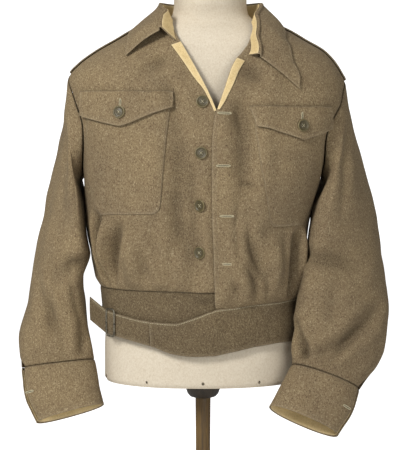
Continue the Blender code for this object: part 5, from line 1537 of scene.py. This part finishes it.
def makeForm():
    heights = np.concatenate([[365, 365.6, 367, 370, 374], np.linspace(380, 1050, 118),
                              [1056, 1060, 1063, 1065, 1066]]) * mm
    angle = np.linspace(0, 360, formCut["sides"], endpoint=False)
    grid = formRing(heights[:, None] + 0 * angle, angle[None, :] + 0 * heights[:, None])
    roll = 3.5 * mm * (1 - blendIn(heights, 365 * mm, 371 * mm))
    out = unit(grid * np.array([1, 1, 0]))
    swell = waves(grid, 61, ((80 * mm, 0.35 * mm, 5), (30 * mm, 0.12 * mm, 6)))
    turn = np.radians(angle)[None, :]
    seamAt = formCut["neckSeam"] + 26 * mm * (1 - np.cos(turn)) / 2
    seam = np.abs(grid[..., 2] - seamAt)
    dip = 0.9 * mm * np.exp(-((seam / (2.2 * mm)) ** 2))
    away = [np.abs((np.degrees(turn) - seamTurn + 180) % 360 - 180) for seamTurn in (90, 180, 270)]
    upright = np.minimum.reduce(away) * 2.2 * mm + 0 * grid[..., 0]
    grid = grid + out * (swell - dip - roll[:, None])[..., None]
    rows, around = grid.shape[:2]
    index = np.arange(rows * around).reshape(rows, around)
    nxt = np.roll(index, -1, axis=1)
    faces = np.stack([index[:-1], nxt[:-1], nxt[1:], index[1:]], -1).reshape(-1, 4).tolist()
    faces += [index[0, ::-1].tolist(), index[-1].tolist()]
    uv = np.stack([np.radians(angle)[None, :] * 0.15 + 0 * grid[..., 0], grid[..., 2]], -1).reshape(-1, 2)
    rim = np.minimum(np.abs(grid[..., 2] - formCut["bottom"]), 1.0)
    # the seam distance also lays painted shade along the form's seams
    values = {"edge": rim.ravel(), "seam": np.minimum(seam, upright).ravel(), "creaseShade": np.zeros(rows * around)}
    obj = meshObject("form_torso_canvas", grid.reshape(-1, 3), faces, formCloth, uv, values)
    place(obj, "form_cloth", "form_torso")
    turns = np.linspace(0, 360, 361)[:-1]
    ring = formRing(formCut["tackHeight"] + 0 * turns, turns)
    facing = unit(ring * np.array([1, 1, 0]))
    length = np.sum(np.linalg.norm(ring - np.roll(ring, 1, axis=0), axis=1))
    tack = {"Pitch": length / formCut["tacks"], "Length": 5.2 * mm, "Width": 5.2 * mm, "Height": 2.2 * mm,
            "Jitter": 0.0, "Sides": 16}
    sewn("form_tacks", [(ring, facing, True)], tackMetal, "form_cloth", **tack)


standCut = {
    "baseRadius": 165 * mm, "baseHeight": 26 * mm, "pole": 13.5 * mm, "flangeRadius": 32 * mm,
    "flangeHeight": 33 * mm,
    "base": ((0, 0), (0.985, 0), (1, 0.06), (1, 0.40), (0.99, 0.52), (0.965, 0.66), (0.93, 0.75), (0.90, 0.74),
             (0.60, 0.82), (0.42, 0.86), (0.30, 0.90), (0.22, 0.97), (0.19, 1), (0, 1)),  # shares of both sizes
}


def makeStand():
    gap = jacket["seamGap"]
    top = formCut["bottom"] - gap
    low, r, h = top - standCut["flangeHeight"], standCut["flangeRadius"], standCut["flangeHeight"]
    flange = ((0, low), (0.60 * r, low), (0.72 * r, low + 0.04 * h), (0.85 * r, low + 0.18 * h),
              (0.93 * r, low + 0.4 * h),
              (r, low + 0.56 * h), (r, top - 0.06 * h), (0.985 * r, top), (0, top))
    place(turnedMesh("form_flange_turned", flange, 64, darkWood), "flange_wood", "form_flange")
    poleTop, poleLow, p = low - gap, standCut["baseHeight"] + gap, standCut["pole"]
    pole = [(0, poleLow), (1.44 * p, poleLow), (1.5 * p, poleLow + 1.5 * mm), (1.5 * p, poleLow + 11 * mm),
            (1.42 * p, poleLow + 14 * mm), (1.2 * p, poleLow + 17 * mm), (1.05 * p, poleLow + 20 * mm),
            (p, poleLow + 24 * mm), (0.955 * p, 100 * mm),
            (0.93 * p, 180 * mm), (0.95 * p, 260 * mm), (0.995 * p, poleTop - 2 * mm), (0.96 * p, poleTop),
            (0, poleTop)]
    place(turnedMesh("stand_pole_turned", pole, 48, wood), "stand_wood", "stand_pole")
    b, h = standCut["baseRadius"], standCut["baseHeight"]
    base = [(out * b, up * h) for out, up in standCut["base"]]
    place(turnedMesh("stand_base_turned", base, 96, wood), "stand_wood", "stand_base")


makeForm()
makeStand()
print("form and stand made")
makeBody()
print("body panels made")
makeSleeves()
makeCollar()
print("sleeves and collar made")
makePockets()
makeFrontButtons()
makeStraps()
makeWaist()
for region, lines in seamLines.items():
    sewn("stitches_" + region, lines, sergeThread, "serge")
sewn("belt_thread", paleLines, holeThread, "serge", Width=0.9 * mm)
sewn("buttonhole_thread", holeLines, holeThread, "serge", Pitch=0.62 * mm, Length=2.1 * mm, Width=0.62 * mm,
     Height=0.7 * mm, Turn=math.pi / 2)
sewn("button_thread", threadBars, holeThread, "serge", Pitch=0.8 * mm, Length=1.3 * mm, Width=0.8 * mm,
     Height=0.8 * mm)
slitMesh("buttonhole_slits")
print("sewing made")

# Floor, light and camera

studio = {"floor": 7.0, "target": (0, 0, 0.635), "camera": (0, -2.194, 0.796), "lens": 36 * 2200 / 787.5,
          "world": 0.22}


def makeStudio():
    shell = bmesh.new()
    bmesh.ops.create_circle(shell, cap_ends=True, segments=96, radius=studio["floor"])
    mesh = bpy.data.meshes.new("floor")
    shell.to_mesh(mesh)
    shell.free()
    floorPaint, graph, shader, place3 = newMaterial("floorPaint")
    grain = graph.noise(place3, 30.0, 3.0)
    graph.give(shader, {
        "Base Color": graph.ramp(grain, ((0.3, (0.90, 0.90, 0.90)), (0.7, (0.93, 0.93, 0.93)))),
        "Roughness": 0.9,
        "Emission Color": (1, 1, 1, 1),
    })
    seen = graph.add("ShaderNodeLightPath").outputs["Is Camera Ray"]
    graph.give(shader, {"Emission Strength": graph.add("ShaderNodeMapRange", {0: seen, 3: 0.0, 4: 0.9}).outputs[0]})
    mesh.materials.append(floorPaint)
    floor = addObject("floor", mesh)
    floor.location.z = -0.0002
    world = bpy.data.worlds.new("studio")
    world.use_nodes = True
    graph = Graph(world.node_tree)
    back = world.node_tree.nodes["Background"]
    seen = graph.add("ShaderNodeLightPath").outputs["Is Camera Ray"]
    back.inputs["Color"].default_value = (1, 1, 1, 1)
    strength = graph.add("ShaderNodeMapRange", {0: seen, 3: studio["world"], 4: 1.3}).outputs[0]
    world.node_tree.links.new(strength, back.inputs["Strength"])
    bpy.context.scene.world = world
    bpy.context.scene.view_settings.view_transform = "Standard"
    for name, at, size, power in (("keyLight", (-1.5, -2.2, 2.2), 0.8, 78), ("fillLight", (1.2, -2.6, 1.0), 1.4, 22),
                                  ("topLight", (0.1, 0.4, 2.6), 1.6, 10)):
        lamp = bpy.data.lights.new(name, "AREA")
        lamp.size, lamp.energy = size, power
        obj = addObject(name, lamp)
        obj.location = at
        obj.rotation_euler = (Vector(studio["target"]) - Vector(at)).to_track_quat("-Z", "Y").to_euler()
    lens = bpy.data.cameras.new("camera")
    lens.sensor_fit, lens.sensor_height, lens.lens = "VERTICAL", 36.0, studio["lens"]
    camera = addObject("camera", lens)
    camera.location = studio["camera"]
    camera.rotation_euler = (Vector(studio["target"]) - Vector(studio["camera"])).to_track_quat("-Z", "Y").to_euler()
    bpy.context.scene.camera = camera


makeStudio()
print("studio made")
